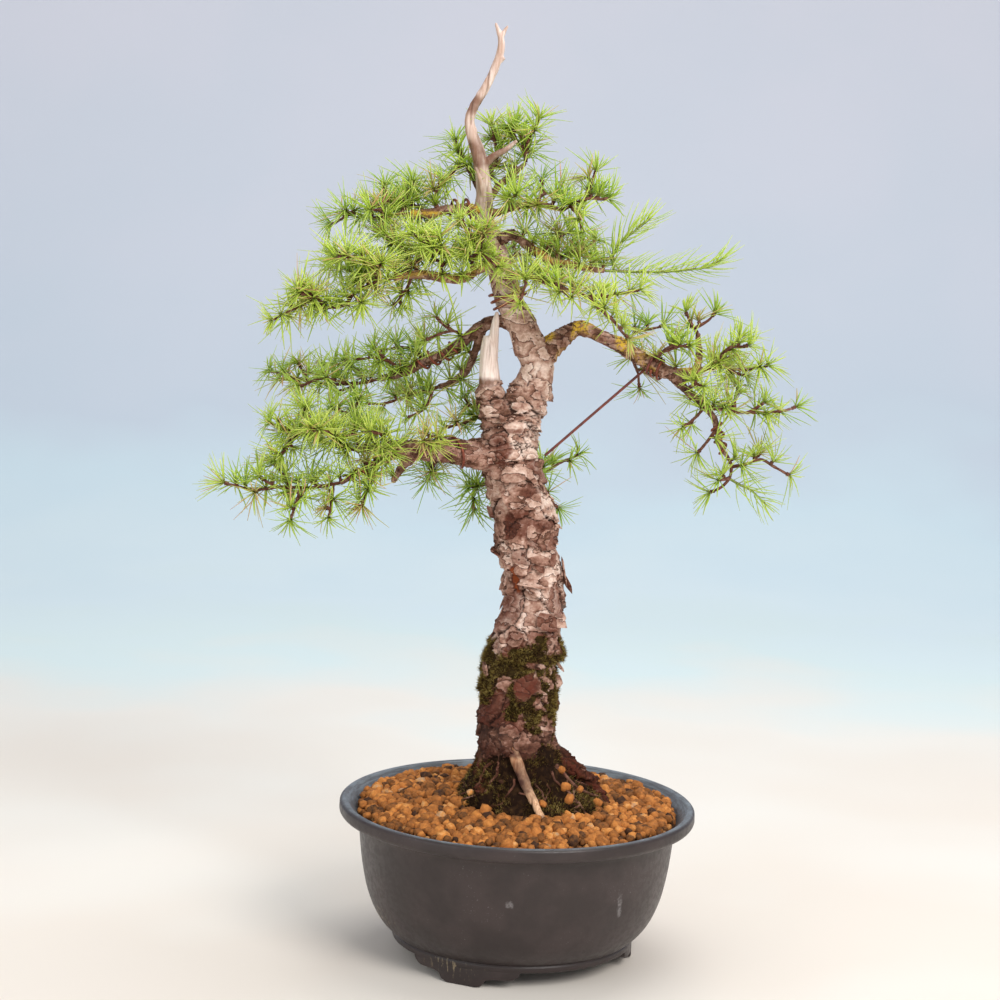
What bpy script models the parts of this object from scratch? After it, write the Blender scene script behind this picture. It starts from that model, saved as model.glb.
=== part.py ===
"""European larch bonsai in a round three-footed plastic pot, modelled at real size in metres.

The tree's wood, its roots and its deadwood grew as one piece, so they are one solid. Each spray
of needles is a slim twig with its rosettes, or with single needles on a long shoot. Training
wires are rigid pieces. Routes are given in millimetres from the pot's axis at table height:
x to the right, y to the back, z up, as seen from the front of the tree.
"""

import math
import random

import bmesh
import bpy
import numpy as np
from mathutils import Matrix, Vector, noise
from mathutils.bvhtree import BVHTree
from mathutils.geometry import delaunay_2d_cdt

MM = 0.001
SEED = 7

# Where the pot's axis stands, so that the whole tree's box is centred on the origin.
POT_X = 11.5
POT_Y = 0.0

# Clearance between neighbouring pieces.
GAP = 0.3

# Pot, turned round its axis.
POT_SEGMENTS = 32
RIM_RADIUS = 115.0
FLOOR_HEIGHT = 17.0
FOOT_HEIGHT = 11.5
FOOT_ANGLES = (-113.5, 6.5, 126.5)
FOOT_INNER = 62.0
FOOT_OUTER = 78.2
FOOT_OVERLAP = 0.6
# Half of a foot's outline along the base's edge: degrees from its middle, height above the table.
FOOT_HALF = ((0.0, 0.0), (8.0, 0.0), (10.4, 1.4), (12.8, 5.4), (25.5, 6.3), (28.5, 11.0))
DRAIN_RADIUS = 11.0

# Soil, with a plain hole for the root base.
SOIL_EDGE_RADIUS = 104.0
SOIL_EDGE_HEIGHT = 96.0
SOIL_CROWN = 9.0
GRAIN_SPACING = 9.5
GRAIN_ROW = 0.87 * GRAIN_SPACING
GRAIN_SHIFT = 2.0
GRAIN_RELIEF = 2.3
EDGE_MARGIN = 4.5
ROOT_CENTRE = (10.0, -8.0)
ROOT_RADIUS = 50.0
ROOT_SEGMENTS = 24
ROOT_BOTTOM = 86.0
ROOT_TOP = 104.0

# Wood tubes, and the bark plates on the thick ones.
TRUNK_RESOLUTION = 4
TRUNK_STEP = 11.5
LIMB_STEP = 13.0
BARK_RELIEF = 2.4
SMOOTH_RADIUS = 9.5
ROUTE_STEP = 2.0
THICK_LIMB = 6.0
MIDDLING_LIMB = 3.3

# Twigs and needles. A bud is a short swelling whose faces are drawn out into needles.
TWIG_SIDES = 4
TWIG_SPACING = 12.0
TWIG_ROOT = 0.95
TWIG_TIP = 0.6
TWIG_STEP = 0.15
BUD_RADIUS = 1.15
BUD_LENGTH = 1.25
ROSETTE_SPACING = 13.5
FIRST_ROSETTE = 5.5
JUNCTION_CLEARANCE = 4.0
NEEDLE_LONGEST = 18.5
NEEDLE_SHORTEST = 0.75
NEEDLE_ROOT = 0.7
NEEDLE_RISE = 0.25
NEEDLE_CLEARANCE = 0.4
OWN_CLEARANCE = 0.1
ROOT_ZONE = 3.5
BACK_LEAN = -0.25
FRONT_LEAN = 0.75
TIP_LEAN = 3.0
SHOOT_SIDES = 3
SHOOT_RADIUS = 0.8
SHOOT_BAND = 2.5
SHOOT_NEEDLE = 11.5
SHOOT_LEAN = 0.9

# A needle that would touch something is aimed anew, more freely each time, and later cut short.
TRIES = 14
FULL_LENGTH_TRIES = 8
CUT_SHORT = 0.7
FIRST_SPREAD = 0.12
MORE_SPREAD = 0.05
LEAST_OUTWARD = 0.3
SAMPLES = 14
FIRST_SAMPLE = 0.03

# Training wire.
WIRE_RADIUS = 0.9
WIRE_POINTS_PER_TURN = 9
COIL_WOOD_SHARE = 1.02
COIL_STANDOFF = 1.5

# Living and dead wood: route points as x, y, z and the radius there.
TRUNK = (
    (0, -2, 96, 31.0),
    (-1, -1, 118, 27.5),
    (-2, 0, 141, 24.9),
    (-3, 1, 157, 24.2),
    (-2, 2, 170, 24.8),
    (-1, 3, 189, 24.0),
    (2, 3, 207, 21.6),
    (5, 3, 223, 18.7),
    (4, 2, 244, 17.6),
    (3, 1, 259, 17.4),
    (-1, 0, 271, 18.5),
    (-3, -1, 286, 18.9),
    (-7, -2, 302, 17.6),
    (-12, -2, 317, 17.4),
    (-14, -2, 333, 16.6),
    (-12, -1, 346, 16.4),
    (-7, 0, 358, 14.0),
    (-1, 0, 370, 11.6),
    (2, 0, 384, 10.8),
    (-3, 0, 395, 10.5),
    (-7, 0, 404, 9.8),
    (-12, 0, 414, 9.2),
    (-17, 0, 423, 8.5),
    (-21, 0, 433, 8.2),
    (-24, 0, 443, 7.8),
    (-27, 0, 453, 7.1),
    (-32, 0, 465, 6.7),
    (-36, 0, 477, 6.4),
    (-36, 0, 490, 5.2),
    (-38, 0, 504, 4.5),
    (-41, 0, 516, 4.4),
    (-45, 0, 527, 3.8),
    (-47, 0, 535, 2.9),
    (-45, 0, 543, 2.8),
    (-39, 0, 554, 2.8),
    (-33, 0, 567, 2.6),
    (-30, 0, 576, 2.5),
    (-29, 0, 584, 2.2),
    (-31, 0, 591, 1.6),
    (-33, 0, 596, 1.0),
)
DEADWOOD = {
    "jin_fork": ((-29.5, 0, 585, 1.6), (-27.5, 0, 591, 1.2), (-25, 0, 594.5, 0.8)),
    "jin_side": ((-37, 0, 508, 3.0), (-31, -2, 514, 2.2), (-24, -3, 518, 1.8), (-17, -4, 524, 1.1)),
    "jin_spur": ((-36, -3, 488, 2.2), (-38, -6.5, 497, 1.6), (-42, -8, 507, 0.8)),
    "jin_knob": ((-30.5, 0, 572, 2.2), (-27, -1, 575, 1.4)),
    "stub": (
        (-16, -1, 336, 13.0),
        (-24, -2, 354, 10.0),
        (-28, -2, 368, 7.6),
        (-29, -2, 382, 6.0),
        (-29.5, -2, 401, 4.6),
    ),
    "stub_tip": ((-27.5, -1, 392, 3.6), (-26.5, -2, 405, 2.8), (-25.5, -3, 416, 1.5)),
}
LIMBS = {
    "left_top": (
        (-36, -1, 480, 4.6),
        (-56, -5, 480, 3.2),
        (-68, -8, 477, 3.4),
        (-82, -10, 476, 2.6),
    ),
    "left_upper": (
        (-24, -3, 450, 5.0),
        (-37, -22, 445, 3.6),
        (-49, -30, 438, 3.2),
        (-71, -40, 440, 2.9),
        (-88, -46, 438, 2.2),
    ),
    "left_middle": (
        (-12, 3, 409, 5.5),
        (-23, 8, 411, 4.6),
        (-37, 14, 405, 3.8),
        (-52, 20, 391, 3.8),
        (-71, 25, 382, 3.5),
        (-84, 28, 374, 2.9),
        (-100, 30, 369, 2.1),
    ),
    "left_middle_low": (
        (-34, 13, 406, 3.0),
        (-38, 18, 392, 2.8),
        (-44, 23, 377, 2.6),
        (-54, 30, 368, 2.2),
        (-62, 33, 365, 1.8),
    ),
    "left_low": (
        (-14, -3, 326, 11.5),
        (-28, -8, 327, 10.6),
        (-39, -12, 328, 8.8),
        (-54, -20, 330, 7.5),
        (-69, -27, 330, 6.3),
        (-82, -32, 331, 5.0),
        (-96, -36, 332, 3.2),
        (-109, -38, 330, 2.4),
    ),
    "left_low_front": (
        (-78, -31, 330, 4.0),
        (-88, -36, 327, 3.0),
        (-98, -43, 322, 2.3),
        (-107, -49, 316, 2.0),
        (-117, -54, 311, 1.7),
    ),
    "left_low_snag": ((-70, -24, 328, 3.6), (-80, -15, 319, 2.9), (-87, -9, 307, 1.8)),
    "right_main": (
        (-2, 0, 384, 9.0),
        (12, 2, 398, 7.2),
        (22, 5, 406, 5.9),
        (29, 6, 408, 4.9),
        (40, 6, 404, 4.3),
        (51, 5, 400, 4.5),
        (62, 3, 394, 4.8),
        (73, 0, 388, 5.1),
        (81, -3, 384, 4.6),
        (91, -6, 383, 3.4),
        (101, -5, 385, 2.6),
        (108, -1, 386, 1.9),
    ),
    "right_main_peg": ((102, -5, 384, 2.8), (103, -6, 397, 2.4), (101, -8, 409, 1.8)),
    "right_pendant": (
        (85, -5, 383, 3.8),
        (97, -12, 372, 2.9),
        (106, -15, 365, 2.5),
        (113, -16, 357, 2.2),
        (116, -16, 349, 2.0),
        (119, -15, 339, 1.8),
        (123, -14, 333, 1.6),
    ),
    "right_low": ((104, -14, 366, 2.0), (112, -13, 363, 1.8), (120, -12, 362, 1.6)),
    "right_top": (
        (-35, -1, 480, 3.8),
        (-28, -3, 479, 2.6),
        (-20, -6, 482, 2.3),
        (-7, -10, 485, 2.2),
        (3, -12, 485, 1.9),
        (13, -14, 482, 1.4),
    ),
    "right_second": (
        (-28, 0, 460, 4.6),
        (-18, -6, 466, 3.5),
        (-12, -10, 463, 3.1),
        (-4, -14, 457, 2.9),
        (7, -16, 451, 2.8),
        (19, -16, 449, 2.6),
        (31, -15, 447, 2.2),
        (41, -14, 446, 1.7),
    ),
    "right_second_low": (
        (-21, -4, 436, 3.2),
        (-17, -14, 441, 2.6),
        (-8, -24, 442, 2.3),
        (5, -34, 438, 2.0),
        (19, -41, 434, 1.6),
    ),
    "back_upper": ((-21, 3, 434, 3.6), (-22, 20, 440, 2.9), (-25, 38, 445, 2.2)),
    "back_low": ((-8, 8, 300, 5.0), (-6, 26, 303, 3.8), (0, 44, 306, 2.6)),
    "apex_left": ((-37, 2, 487, 2.8), (-41, 8, 495, 2.0), (-46, 11, 503, 1.4)),
    "apex_middle": ((-37, 3, 490, 2.8), (-34, 12, 502, 2.0), (-29, 17, 513, 1.4)),
    "apex_right": ((-35, 2, 484, 3.0), (-27, 7, 496, 2.2), (-19, 9, 503, 1.8), (-11, 10, 511, 1.4)),
    "wire_snag": ((-4, -4, 318, 3.4), (4.5, -4.5, 321, 3.0), (6.5, -5, 325, 2.0)),
}
ROOTS = {
    "root_front": (
        (-8, -18, 153, 4.2),
        (-4, -26, 143, 3.6),
        (2, -35, 129, 3.3),
        (10, -46, 113, 3.2),
        (17, -53, 101, 2.8),
    ),
    "root_right": (
        (12, -4, 142, 8.0),
        (26, -8, 133, 6.0),
        (43, -10, 121, 4.2),
        (54, -12, 108, 3.0),
        (57, -12, 97, 2.0),
    ),
    "root_left": ((-12, -16, 126, 6.0), (-21, -25, 114, 3.8), (-27, -31, 104, 2.6), (-28, -32, 96, 2.0)),
    "root_inner": ((-6, -22, 121, 3.2), (-12, -36, 111, 2.2), (-18, -45, 100, 1.7)),
    "root_back": ((4, 16, 130, 6.5), (14, 26, 116, 4.6), (20, 34, 98, 2.8)),
    "root_back_left": ((-14, 12, 128, 6.0), (-24, 16, 114, 4.0), (-30, 14, 98, 2.4)),
}

# Sprays: the first route is the spray's own twig, and the others branch from it.
SPRAYS = {
    "apex_left": (
        ((-46, 11, 503), (-51, 12, 512), (-55, 12, 521)),
        ((-49, 12, 508), (-55, 7, 505), (-60, 3, 499)),
    ),
    "apex_middle": (
        ((-29, 17, 513), (-31, 19, 522), (-33, 19, 531)),
        ((-30, 18, 518), (-25, 22, 525), (-20, 24, 531)),
    ),
    "apex_right": (
        ((-11, 10, 511), (-11, 10, 520), (-8, 9, 529), (-5, 8, 536)),
        ((-11, 10, 515), (-16, 14, 522), (-19, 16, 528)),
    ),
    "left_top_inner": (((-64, -7, 480), (-67, -8, 487), (-64, -9, 495)),),
    "left_top_back": (((-72, -8, 478), (-79, 8, 481), (-87, 22, 483), (-96, 34, 481)),),
    "left_top_outer": (
        ((-82, -10, 476), (-93, -12, 475), (-105, -12, 473), (-117, -12, 475), (-128, -13, 469)),
        ((-87, -11, 475), (-85, -8, 485), (-82, -5, 494)),
        ((-94, -12, 475), (-96, -8, 484), (-98, -4, 491)),
        ((-98, -12, 474), (-100, -24, 478), (-104, -34, 478)),
    ),
    "left_upper_inner": (
        ((-42, -27, 444), (-40, -37, 453), (-36, -43, 461), (-33, -46, 468)),
        ((-39, -39, 455), (-32, -43, 452), (-27, -46, 448)),
        ((-37, -42, 459), (-43, -48, 466), (-47, -50, 473)),
    ),
    "left_upper_front": (
        ((-60, -36, 441), (-59, -46, 452), (-60, -54, 461)),
        ((-59, -47, 453), (-67, -54, 459), (-75, -58, 463)),
    ),
    "left_upper_back": (((-74, -41, 441), (-80, -30, 450), (-88, -20, 457), (-97, -12, 461)),),
    "left_upper_under": (((-78, -42, 438), (-82, -34, 429), (-88, -28, 421)),),
    "left_upper_outer": (
        ((-88, -46, 438), (-100, -50, 434), (-110, -52, 429), (-118, -53, 420), (-130, -54, 418)),
        ((-128, -54, 418), (-138, -54, 421), (-148, -55, 417), (-158, -56, 411)),
        ((-96, -49, 436), (-103, -58, 445), (-111, -64, 450), (-120, -66, 449)),
        ((-106, -52, 431), (-112, -42, 438), (-119, -34, 442), (-127, -29, 442)),
        ((-128, -54, 418), (-134, -62, 425), (-141, -68, 427)),
    ),
    "right_top_inner": (((-20, -6, 484), (-20, -14, 488), (-17, -22, 490)),),
    "right_top_back": (((-2, -11, 486), (0, -2, 491), (5, 8, 492), (11, 17, 491)),),
    "right_top_outer": (
        ((13, -14, 482), (21, -15, 487), (29, -16, 490), (38, -16, 490)),
        ((26, -16, 489), (29, -11, 497), (32, -8, 505)),
        ((18, -15, 485), (23, -22, 479), (25, -27, 472)),
    ),
    "right_second_inner": (((4, -16, 453), (5, -11, 461), (10, -5, 466), (17, 1, 468)),),
    "right_second_middle": (((22, -16, 449), (27, -8, 457), (33, -1, 462)),),
    "right_second_back": (
        ((12, -15, 452), (16, 2, 454), (22, 18, 456), (26, 31, 456)),
        ((20, 12, 455), (31, 15, 453), (42, 17, 452)),
    ),
    "right_second_low_inner": (((-8, -25, 442), (-7, -36, 442), (-8, -45, 436), (-10, -50, 428)),),
    "right_second_low_front": (((9, -37, 437), (14, -47, 435), (19, -56, 431)),),
    "right_second_low_outer": (
        ((19, -41, 434), (30, -45, 431), (40, -47, 431), (50, -49, 434), (60, -51, 436)),
        ((31, -45, 431), (38, -53, 424), (46, -57, 418), (54, -59, 409)),
    ),
    "right_main_back": (((54, 5, 399), (60, 14, 404), (69, 20, 408), (79, 24, 410)),),
    "right_main_under": (((60, 4, 394), (65, 12, 383), (67, 15, 374)),),
    "right_main_front": (((76, -2, 388), (79, -12, 396), (85, -21, 401), (92, -27, 402)),),
    "right_main_peg": (
        ((101, -8, 409), (97, -9, 415), (94, -10, 420)),
        ((99, -8.5, 412), (106, -8, 416), (110, -7, 420)),
    ),
    "right_main_outer": (
        ((108, -1, 386), (117, 5, 387), (127, 9, 386), (135, 10, 386), (146, 6, 389)),
        ((112, 2, 386), (117, -5, 395), (122, -11, 401), (130, -14, 402)),
        ((113, 3, 386), (114, 16, 390), (117, 28, 392), (121, 40, 390)),
    ),
    "right_pendant_star": (((96, -12, 374), (100, -23, 378), (104, -32, 378)),),
    "right_pendant_left": (((107, -16, 363), (102, -24, 358), (96, -29, 353)),),
    "right_low_outer": (
        ((120, -12, 362), (131, -8, 360), (145, -3, 360), (155, 0, 361), (164, 3, 363)),
        ((127, -10, 361), (127, -2, 368), (129, 5, 374)),
    ),
    "right_pendant_side": (((115, -17, 349), (110, -22, 343), (105, -26, 337)),),
    "right_pendant_end": (
        ((123, -14, 333), (126, -14, 327), (125, -15, 319), (121, -17, 314), (116, -18, 311)),
        ((126, -14, 326), (136, -11, 328), (145, -9, 331), (153, -7, 327), (162, -5, 322)),
    ),
    "left_middle_inner": (((-46, 17, 399), (-52, 9, 403), (-60, 3, 402), (-68, 0, 398)),),
    "left_middle_back": (((-72, 26, 383), (-80, 36, 388), (-89, 45, 389), (-99, 52, 386)),),
    "left_middle_front": (((-86, 28, 375), (-93, 18, 381), (-102, 11, 384), (-112, 7, 383)),),
    "left_middle_outer": (
        ((-100, 30, 369), (-117, 32, 365), (-137, 34, 364), (-152, 36, 366), (-169, 37, 370)),
        ((-108, 31, 367), (-116, 41, 373), (-126, 48, 376), (-136, 52, 375)),
        ((-122, 32, 365), (-130, 23, 368), (-139, 18, 368), (-148, 16, 364)),
        ((-150, 36, 366), (-158, 45, 366), (-165, 52, 364)),
    ),
    "left_middle_low": (
        ((-62, 33, 365), (-72, 36, 361), (-84, 37, 357), (-96, 35, 353), (-106, 34, 352)),
        ((-66, 34, 363), (-67, 25, 356), (-71, 18, 351), (-78, 14, 347)),
        ((-76, 36, 360), (-80, 47, 360), (-87, 56, 358)),
    ),
    "left_trunk": (
        ((-25, 8, 341.5), (-35, 14, 350), (-42, 18, 358)),
        ((-34, 13, 349), (-43, 11, 345), (-53, 8, 342)),
    ),
    "left_trunk_low": (((-20, 8, 306), (-30, 15, 305), (-37, 20, 299), (-36, 23, 290)),),
    "left_low_star": (((-58, -24, 337), (-61, -34, 340), (-66, -42, 338)),),
    "left_low_under": (((-60, -22, 324), (-62, -14, 317), (-64, -8, 311)),),
    "left_low_upper": (((-90, -35, 335), (-93, -45, 341), (-98, -53, 343)),),
    "left_low_back": (((-98, -36, 335), (-104, -27, 343), (-113, -20, 350), (-123, -17, 352)),),
    "left_low_outer": (
        ((-109, -38, 330), (-122, -40, 332), (-135, -42, 337), (-150, -44, 342), (-160, -45, 345)),
        ((-114, -39, 331), (-119, -50, 339), (-125, -58, 343), (-132, -64, 344)),
        ((-130, -41, 335), (-136, -33, 344), (-142, -27, 352)),
        ((-142, -43, 340), (-148, -51, 335), (-152, -57, 329)),
    ),
    "left_low_front_inner": (((-97, -43, 320), (-99, -49, 310), (-102, -54, 300)),),
    "left_low_front_outer": (
        ((-117, -54, 311), (-134, -58, 308), (-152, -62, 308), (-168, -64, 306), (-184, -66, 309)),
        ((-121, -55, 310), (-121, -61, 301), (-122, -66, 293)),
        ((-140, -59, 308), (-142, -67, 301), (-144, -73, 293)),
        ((-146, -61, 308), (-152, -55, 314), (-157, -49, 320)),
    ),
    "back_upper": (
        ((-25, 38, 445), (-27, 52, 447), (-29, 66, 448), (-31, 80, 446)),
        ((-26, 44, 446), (-38, 53, 450), (-50, 60, 452), (-62, 65, 451)),
        ((-27, 52, 447), (-15, 60, 451), (-3, 66, 452)),
    ),
    "back_low": (
        ((0, 44, 306), (8, 56, 309), (18, 65, 314), (29, 71, 319)),
        ((3, 49, 307), (10, 52, 298), (17, 54, 288)),
        ((5, 52, 308), (-6, 62, 305), (-18, 69, 300)),
    ),
}

# Long shoots with single needles, alone or on the spray of the same name.
SHOOTS = {
    "right_second_shoot": (
        (
            (41, -14, 446),
            (54, -12, 446),
            (68, -10, 446),
            (84, -6, 447),
            (99, -3, 449),
            (108, -2, 451),
            (115, 0, 456),
        ),
        ((47, -13, 446), (46, -12, 456), (52, -10, 465), (61, -8, 473), (68, -7, 479)),
    ),
    "right_pendant_end": (((125, -15, 319), (132, -13, 315), (140, -10, 311), (149, -8, 303)),),
}

# Coiled training wire: the wood that it winds on, the stretch of its route, turns and first angle.
COILS = {
    "leader": ("trunk", (423.0, 432.0), 2.1, 0.0),
    "left_top": ("left_top", (0.20, 0.48), 2.0, 0.6),
    "left_middle": ("left_middle", (0.46, 0.74), 3.6, 1.0),
    "left_low": ("left_low", (0.28, 0.47), 0.9, 5.6),
    "left_low_front": ("left_low_front", (0.34, 0.90), 3.5, 0.4),
    "right_main": ("right_main", (0.725, 0.775), 1.5, 2.0),
    "right_pendant": ("right_pendant", (0.66, 0.93), 2.5, 0.3),
}

# The guy wire: its lower end, the share of the main right limb that it holds, and its loop there.
GUY_ANCHOR = (8.6, -5.2, 327.5)
GUY_HOLD = 0.7
GUY_TURNS = 1.4
GUY_ANGLE = 3.9
GUY_RUNS = 5


def place(x, y, z):
    """A point given from the pot's axis, in metres from the part's origin."""
    return Vector((x + POT_X, y + POT_Y, z)) * MM


def clear_scene():
    for old in list(bpy.data.objects):
        bpy.data.objects.remove(old, do_unlink=True)


def make_material(name, colour, roughness, metallic=0.0):
    """A plain Principled material for one kind of surface."""
    material = bpy.data.materials.new(name)
    material.use_nodes = True
    shader = material.node_tree.nodes["Principled BSDF"]
    shader.inputs["Base Color"].default_value = (*colour, 1.0)
    shader.inputs["Roughness"].default_value = roughness
    shader.inputs["Metallic"].default_value = metallic
    return material


def add_object(name, mesh):
    made = bpy.data.objects.new(name, mesh)
    bpy.context.scene.collection.objects.link(made)
    return made


def object_from_bmesh(name, bm):
    """Ends a bmesh: its faces are turned outwards and it becomes an object."""
    bmesh.ops.recalc_face_normals(bm, faces=bm.faces)
    if bm.calc_volume(signed=True) < 0:
        bmesh.ops.reverse_faces(bm, faces=bm.faces)
    mesh = bpy.data.meshes.new(name)
    bm.to_mesh(mesh)
    bm.free()
    return add_object(name, mesh)


def union(name, pieces):
    """Joins overlapping solids into one with a single Boolean on a collection."""
    first = pieces[0]
    if len(pieces) > 1:
        others = bpy.data.collections.new(name + "_pieces")
        bpy.context.scene.collection.children.link(others)
        for piece in pieces[1:]:
            bpy.context.scene.collection.objects.unlink(piece)
            others.objects.link(piece)
        boolean = first.modifiers.new("join", "BOOLEAN")
        boolean.operation = "UNION"
        boolean.operand_type = "COLLECTION"
        boolean.collection = others
        boolean.solver = "EXACT"
        bpy.context.view_layer.update()
        evaluated = first.evaluated_get(bpy.context.evaluated_depsgraph_get())
        joined = bpy.data.meshes.new_from_object(evaluated)
        first.modifiers.remove(boolean)
        first.data = joined
        for piece in pieces[1:]:
            bpy.data.objects.remove(piece, do_unlink=True)
        bpy.data.collections.remove(others)
    first.name = name
    return first


def finish(obj, material, sharp_from=40.0):
    """Gives a finished node its material and smooth shading where it is round."""
    obj.data.materials.clear()
    obj.data.materials.append(material)
    obj.data.shade_smooth()
    obj.data.set_sharp_from_angle(angle=math.radians(sharp_from))


def smooth_route(route, step):
    """Points every step along a smooth curve through the route's own points, all values alike."""
    rows = np.array(route, float)
    before = 2 * rows[0] - rows[1]
    after = 2 * rows[-1] - rows[-2]
    rows = np.vstack([before, rows, after])
    found = []
    for index in range(1, len(rows) - 2):
        a, b, c, d = rows[index - 1 : index + 3]
        count = max(1, round(np.linalg.norm((c - b)[:3]) / step))
        t = (np.arange(count) / count)[:, None]
        bend = (2 * a - 5 * b + 4 * c - d) * t**2
        turn = (3 * b - a - 3 * c + d) * t**3
        found.append((2 * b + (c - a) * t + bend + turn) / 2)
    found.append(rows[-2:-1])
    return np.vstack(found)


def tube(name, points, resolution):
    """A closed tube along points of x, y, z and radius, made from a bevelled curve."""
    curve = bpy.data.curves.new(name, "CURVE")
    curve.dimensions = "3D"
    curve.bevel_depth = MM
    curve.bevel_resolution = resolution
    curve.use_fill_caps = True
    spline = curve.splines.new("POLY")
    spline.points.add(len(points) - 1)
    for knot, (x, y, z, radius) in zip(spline.points, points):
        knot.co = (*place(x, y, z), 1.0)
        knot.radius = radius
    guide = bpy.data.objects.new(name, curve)
    bpy.context.scene.collection.objects.link(guide)
    bpy.context.view_layer.update()
    evaluated = guide.evaluated_get(bpy.context.evaluated_depsgraph_get())
    mesh = bpy.data.meshes.new_from_object(evaluated)
    bpy.data.objects.remove(guide, do_unlink=True)
    bm = bmesh.new()
    bm.from_mesh(mesh)
    bmesh.ops.remove_doubles(bm, verts=bm.verts, dist=1e-7)
    return object_from_bmesh(name, bm)


def lathe(name, profile, segments):
    """A solid turned round the pot's axis from a closed profile of radius and height."""
    bm = bmesh.new()
    corners = [bm.verts.new(place(radius, 0, height)) for radius, height in profile]
    edges = [bm.edges.new((a, b)) for a, b in zip(corners, corners[1:] + corners[:1])]
    bmesh.ops.spin(
        bm,
        geom=corners + edges,
        cent=place(0, 0, 0),
        axis=(0, 0, 1),
        angle=math.tau,
        steps=segments,
    )
    bmesh.ops.remove_doubles(bm, verts=bm.verts, dist=1e-5)
    return object_from_bmesh(name, bm)


def pot_inner_profile():
    """Radius and height down the inside of the pot, from the lip to the floor."""
    return ((105.0, 95.5), (99.0, 88.0), (95.0, 60.0), (88.0, 35.0), (74.0, FLOOR_HEIGHT))


def build_pot():
    """The pot: a bowl with a broad lip and a drain hole, on three feet."""
    outer = (
        (DRAIN_RADIUS, FOOT_HEIGHT),
        (78.4, FOOT_HEIGHT),
        (78.6, 15.0),
        (77.2, 16.0),
        (80.2, 17.2),
        (86.6, 23.8),
        (91.6, 32.0),
        (96.2, 44.0),
        (99.8, 62.0),
        (102.5, 87.5),
        (104.5, 90.2),
        (113.8, 92.3),
        (RIM_RADIUS, 95.5),
        (114.3, 99.6),
        (110.5, 101.0),
    )
    profile = outer + pot_inner_profile() + ((DRAIN_RADIUS, FLOOR_HEIGHT),)
    pieces = [lathe("bowl", profile, POT_SEGMENTS)]
    pieces += [build_foot(angle) for angle in FOOT_ANGLES]
    return union("pot", pieces)


def build_foot(angle):
    """A cloud-shaped foot along the base's edge: a narrow toe between two long raised shoulders."""
    stations = [(-turn, up) for turn, up in reversed(FOOT_HALF)] + list(FOOT_HALF[1:])
    top = FOOT_HEIGHT + FOOT_OVERLAP
    bm = bmesh.new()
    ring = []
    for turn, up in stations:
        way = math.radians(angle + turn)
        corners = (
            (FOOT_INNER, up),
            (FOOT_INNER, top),
            (FOOT_OUTER, top),
            (FOOT_OUTER, up),
        )
        after = [
            bm.verts.new(place(radius * math.cos(way), radius * math.sin(way), height))
            for radius, height in corners
        ]
        if ring:
            bridge(bm, after, ring)
        else:
            bm.faces.new(after)
        ring = after
    bm.faces.new(list(reversed(ring)))
    bmesh.ops.recalc_face_normals(bm, faces=bm.faces)
    return object_from_bmesh("foot", bm)


def circle(radius, segments, centre=(0.0, 0.0)):
    """Corners of a regular polygon in plan, as x and y."""
    angles = [math.tau * index / segments for index in range(segments)]
    return [
        (centre[0] + radius * math.cos(angle), centre[1] + radius * math.sin(angle))
        for angle in angles
    ]


def soil_height(x, y):
    """The soil's crown: highest at the trunk and falling to the pot's lip."""
    share = min(1.0, math.hypot(x, y) / SOIL_EDGE_RADIUS)
    return SOIL_EDGE_HEIGHT + SOIL_CROWN * (1.0 - share**2)


def build_soil():
    """The soil: coarse grains as a random relief, with a plain hole for the root base."""
    rng = random.Random(SEED)
    outer = circle(SOIL_EDGE_RADIUS, POT_SEGMENTS)
    inner = circle(ROOT_RADIUS + GAP, ROOT_SEGMENTS, ROOT_CENTRE)
    points = list(outer) + list(inner)
    rows = int(2 * SOIL_EDGE_RADIUS / GRAIN_ROW) + 1
    for row in range(rows):
        for column in range(rows):
            x = -SOIL_EDGE_RADIUS + (column + 0.5 * (row % 2)) * GRAIN_SPACING
            x += rng.uniform(-GRAIN_SHIFT, GRAIN_SHIFT)
            y = -SOIL_EDGE_RADIUS + row * GRAIN_ROW
            y += rng.uniform(-GRAIN_SHIFT, GRAIN_SHIFT)
            from_root = math.hypot(x - ROOT_CENTRE[0], y - ROOT_CENTRE[1])
            in_pot = math.hypot(x, y) < SOIL_EDGE_RADIUS - EDGE_MARGIN
            beside_root = from_root > ROOT_RADIUS + EDGE_MARGIN
            if in_pot and beside_root:
                points.append((x, y))
    count = len(outer)
    hole = len(inner)
    edges = [(index, (index + 1) % count) for index in range(count)]
    edges += [(count + index, count + (index + 1) % hole) for index in range(hole)]
    spots, _, faces = delaunay_2d_cdt([Vector(spot) for spot in points], edges, [], 0, 1e-4)[:3]
    bm = bmesh.new()
    verts = []
    for index, spot in enumerate(spots):
        lift = rng.uniform(-1.0, 1.0) * GRAIN_RELIEF if index >= count + hole else 0.0
        verts.append(bm.verts.new(place(spot.x, spot.y, soil_height(spot.x, spot.y) + lift)))
    for face in faces:
        if not all(count <= index < count + hole for index in face):
            bm.faces.new([verts[index] for index in face])
    ring = verts[:count]
    for radius, height in pot_inner_profile():
        below = [
            bm.verts.new(place(*spot, height + GAP * 0.5))
            for spot in circle(radius - GAP * 1.2, POT_SEGMENTS)
        ]
        bridge(bm, ring, below)
        ring = below
    bm.faces.new(ring)
    floor = [
        bm.verts.new(place(*spot, ROOT_BOTTOM - GAP))
        for spot in circle(ROOT_RADIUS + GAP, ROOT_SEGMENTS, ROOT_CENTRE)
    ]
    bridge(bm, verts[count : count + hole], floor)
    bm.faces.new(floor)
    return object_from_bmesh("soil", bm)


def bridge(bm, upper, lower):
    """Joins two rings of equally many corners by a band of faces."""
    count = len(upper)
    for index in range(count):
        after = (index + 1) % count
        bm.faces.new((upper[index], upper[after], lower[after], lower[index]))


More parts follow.
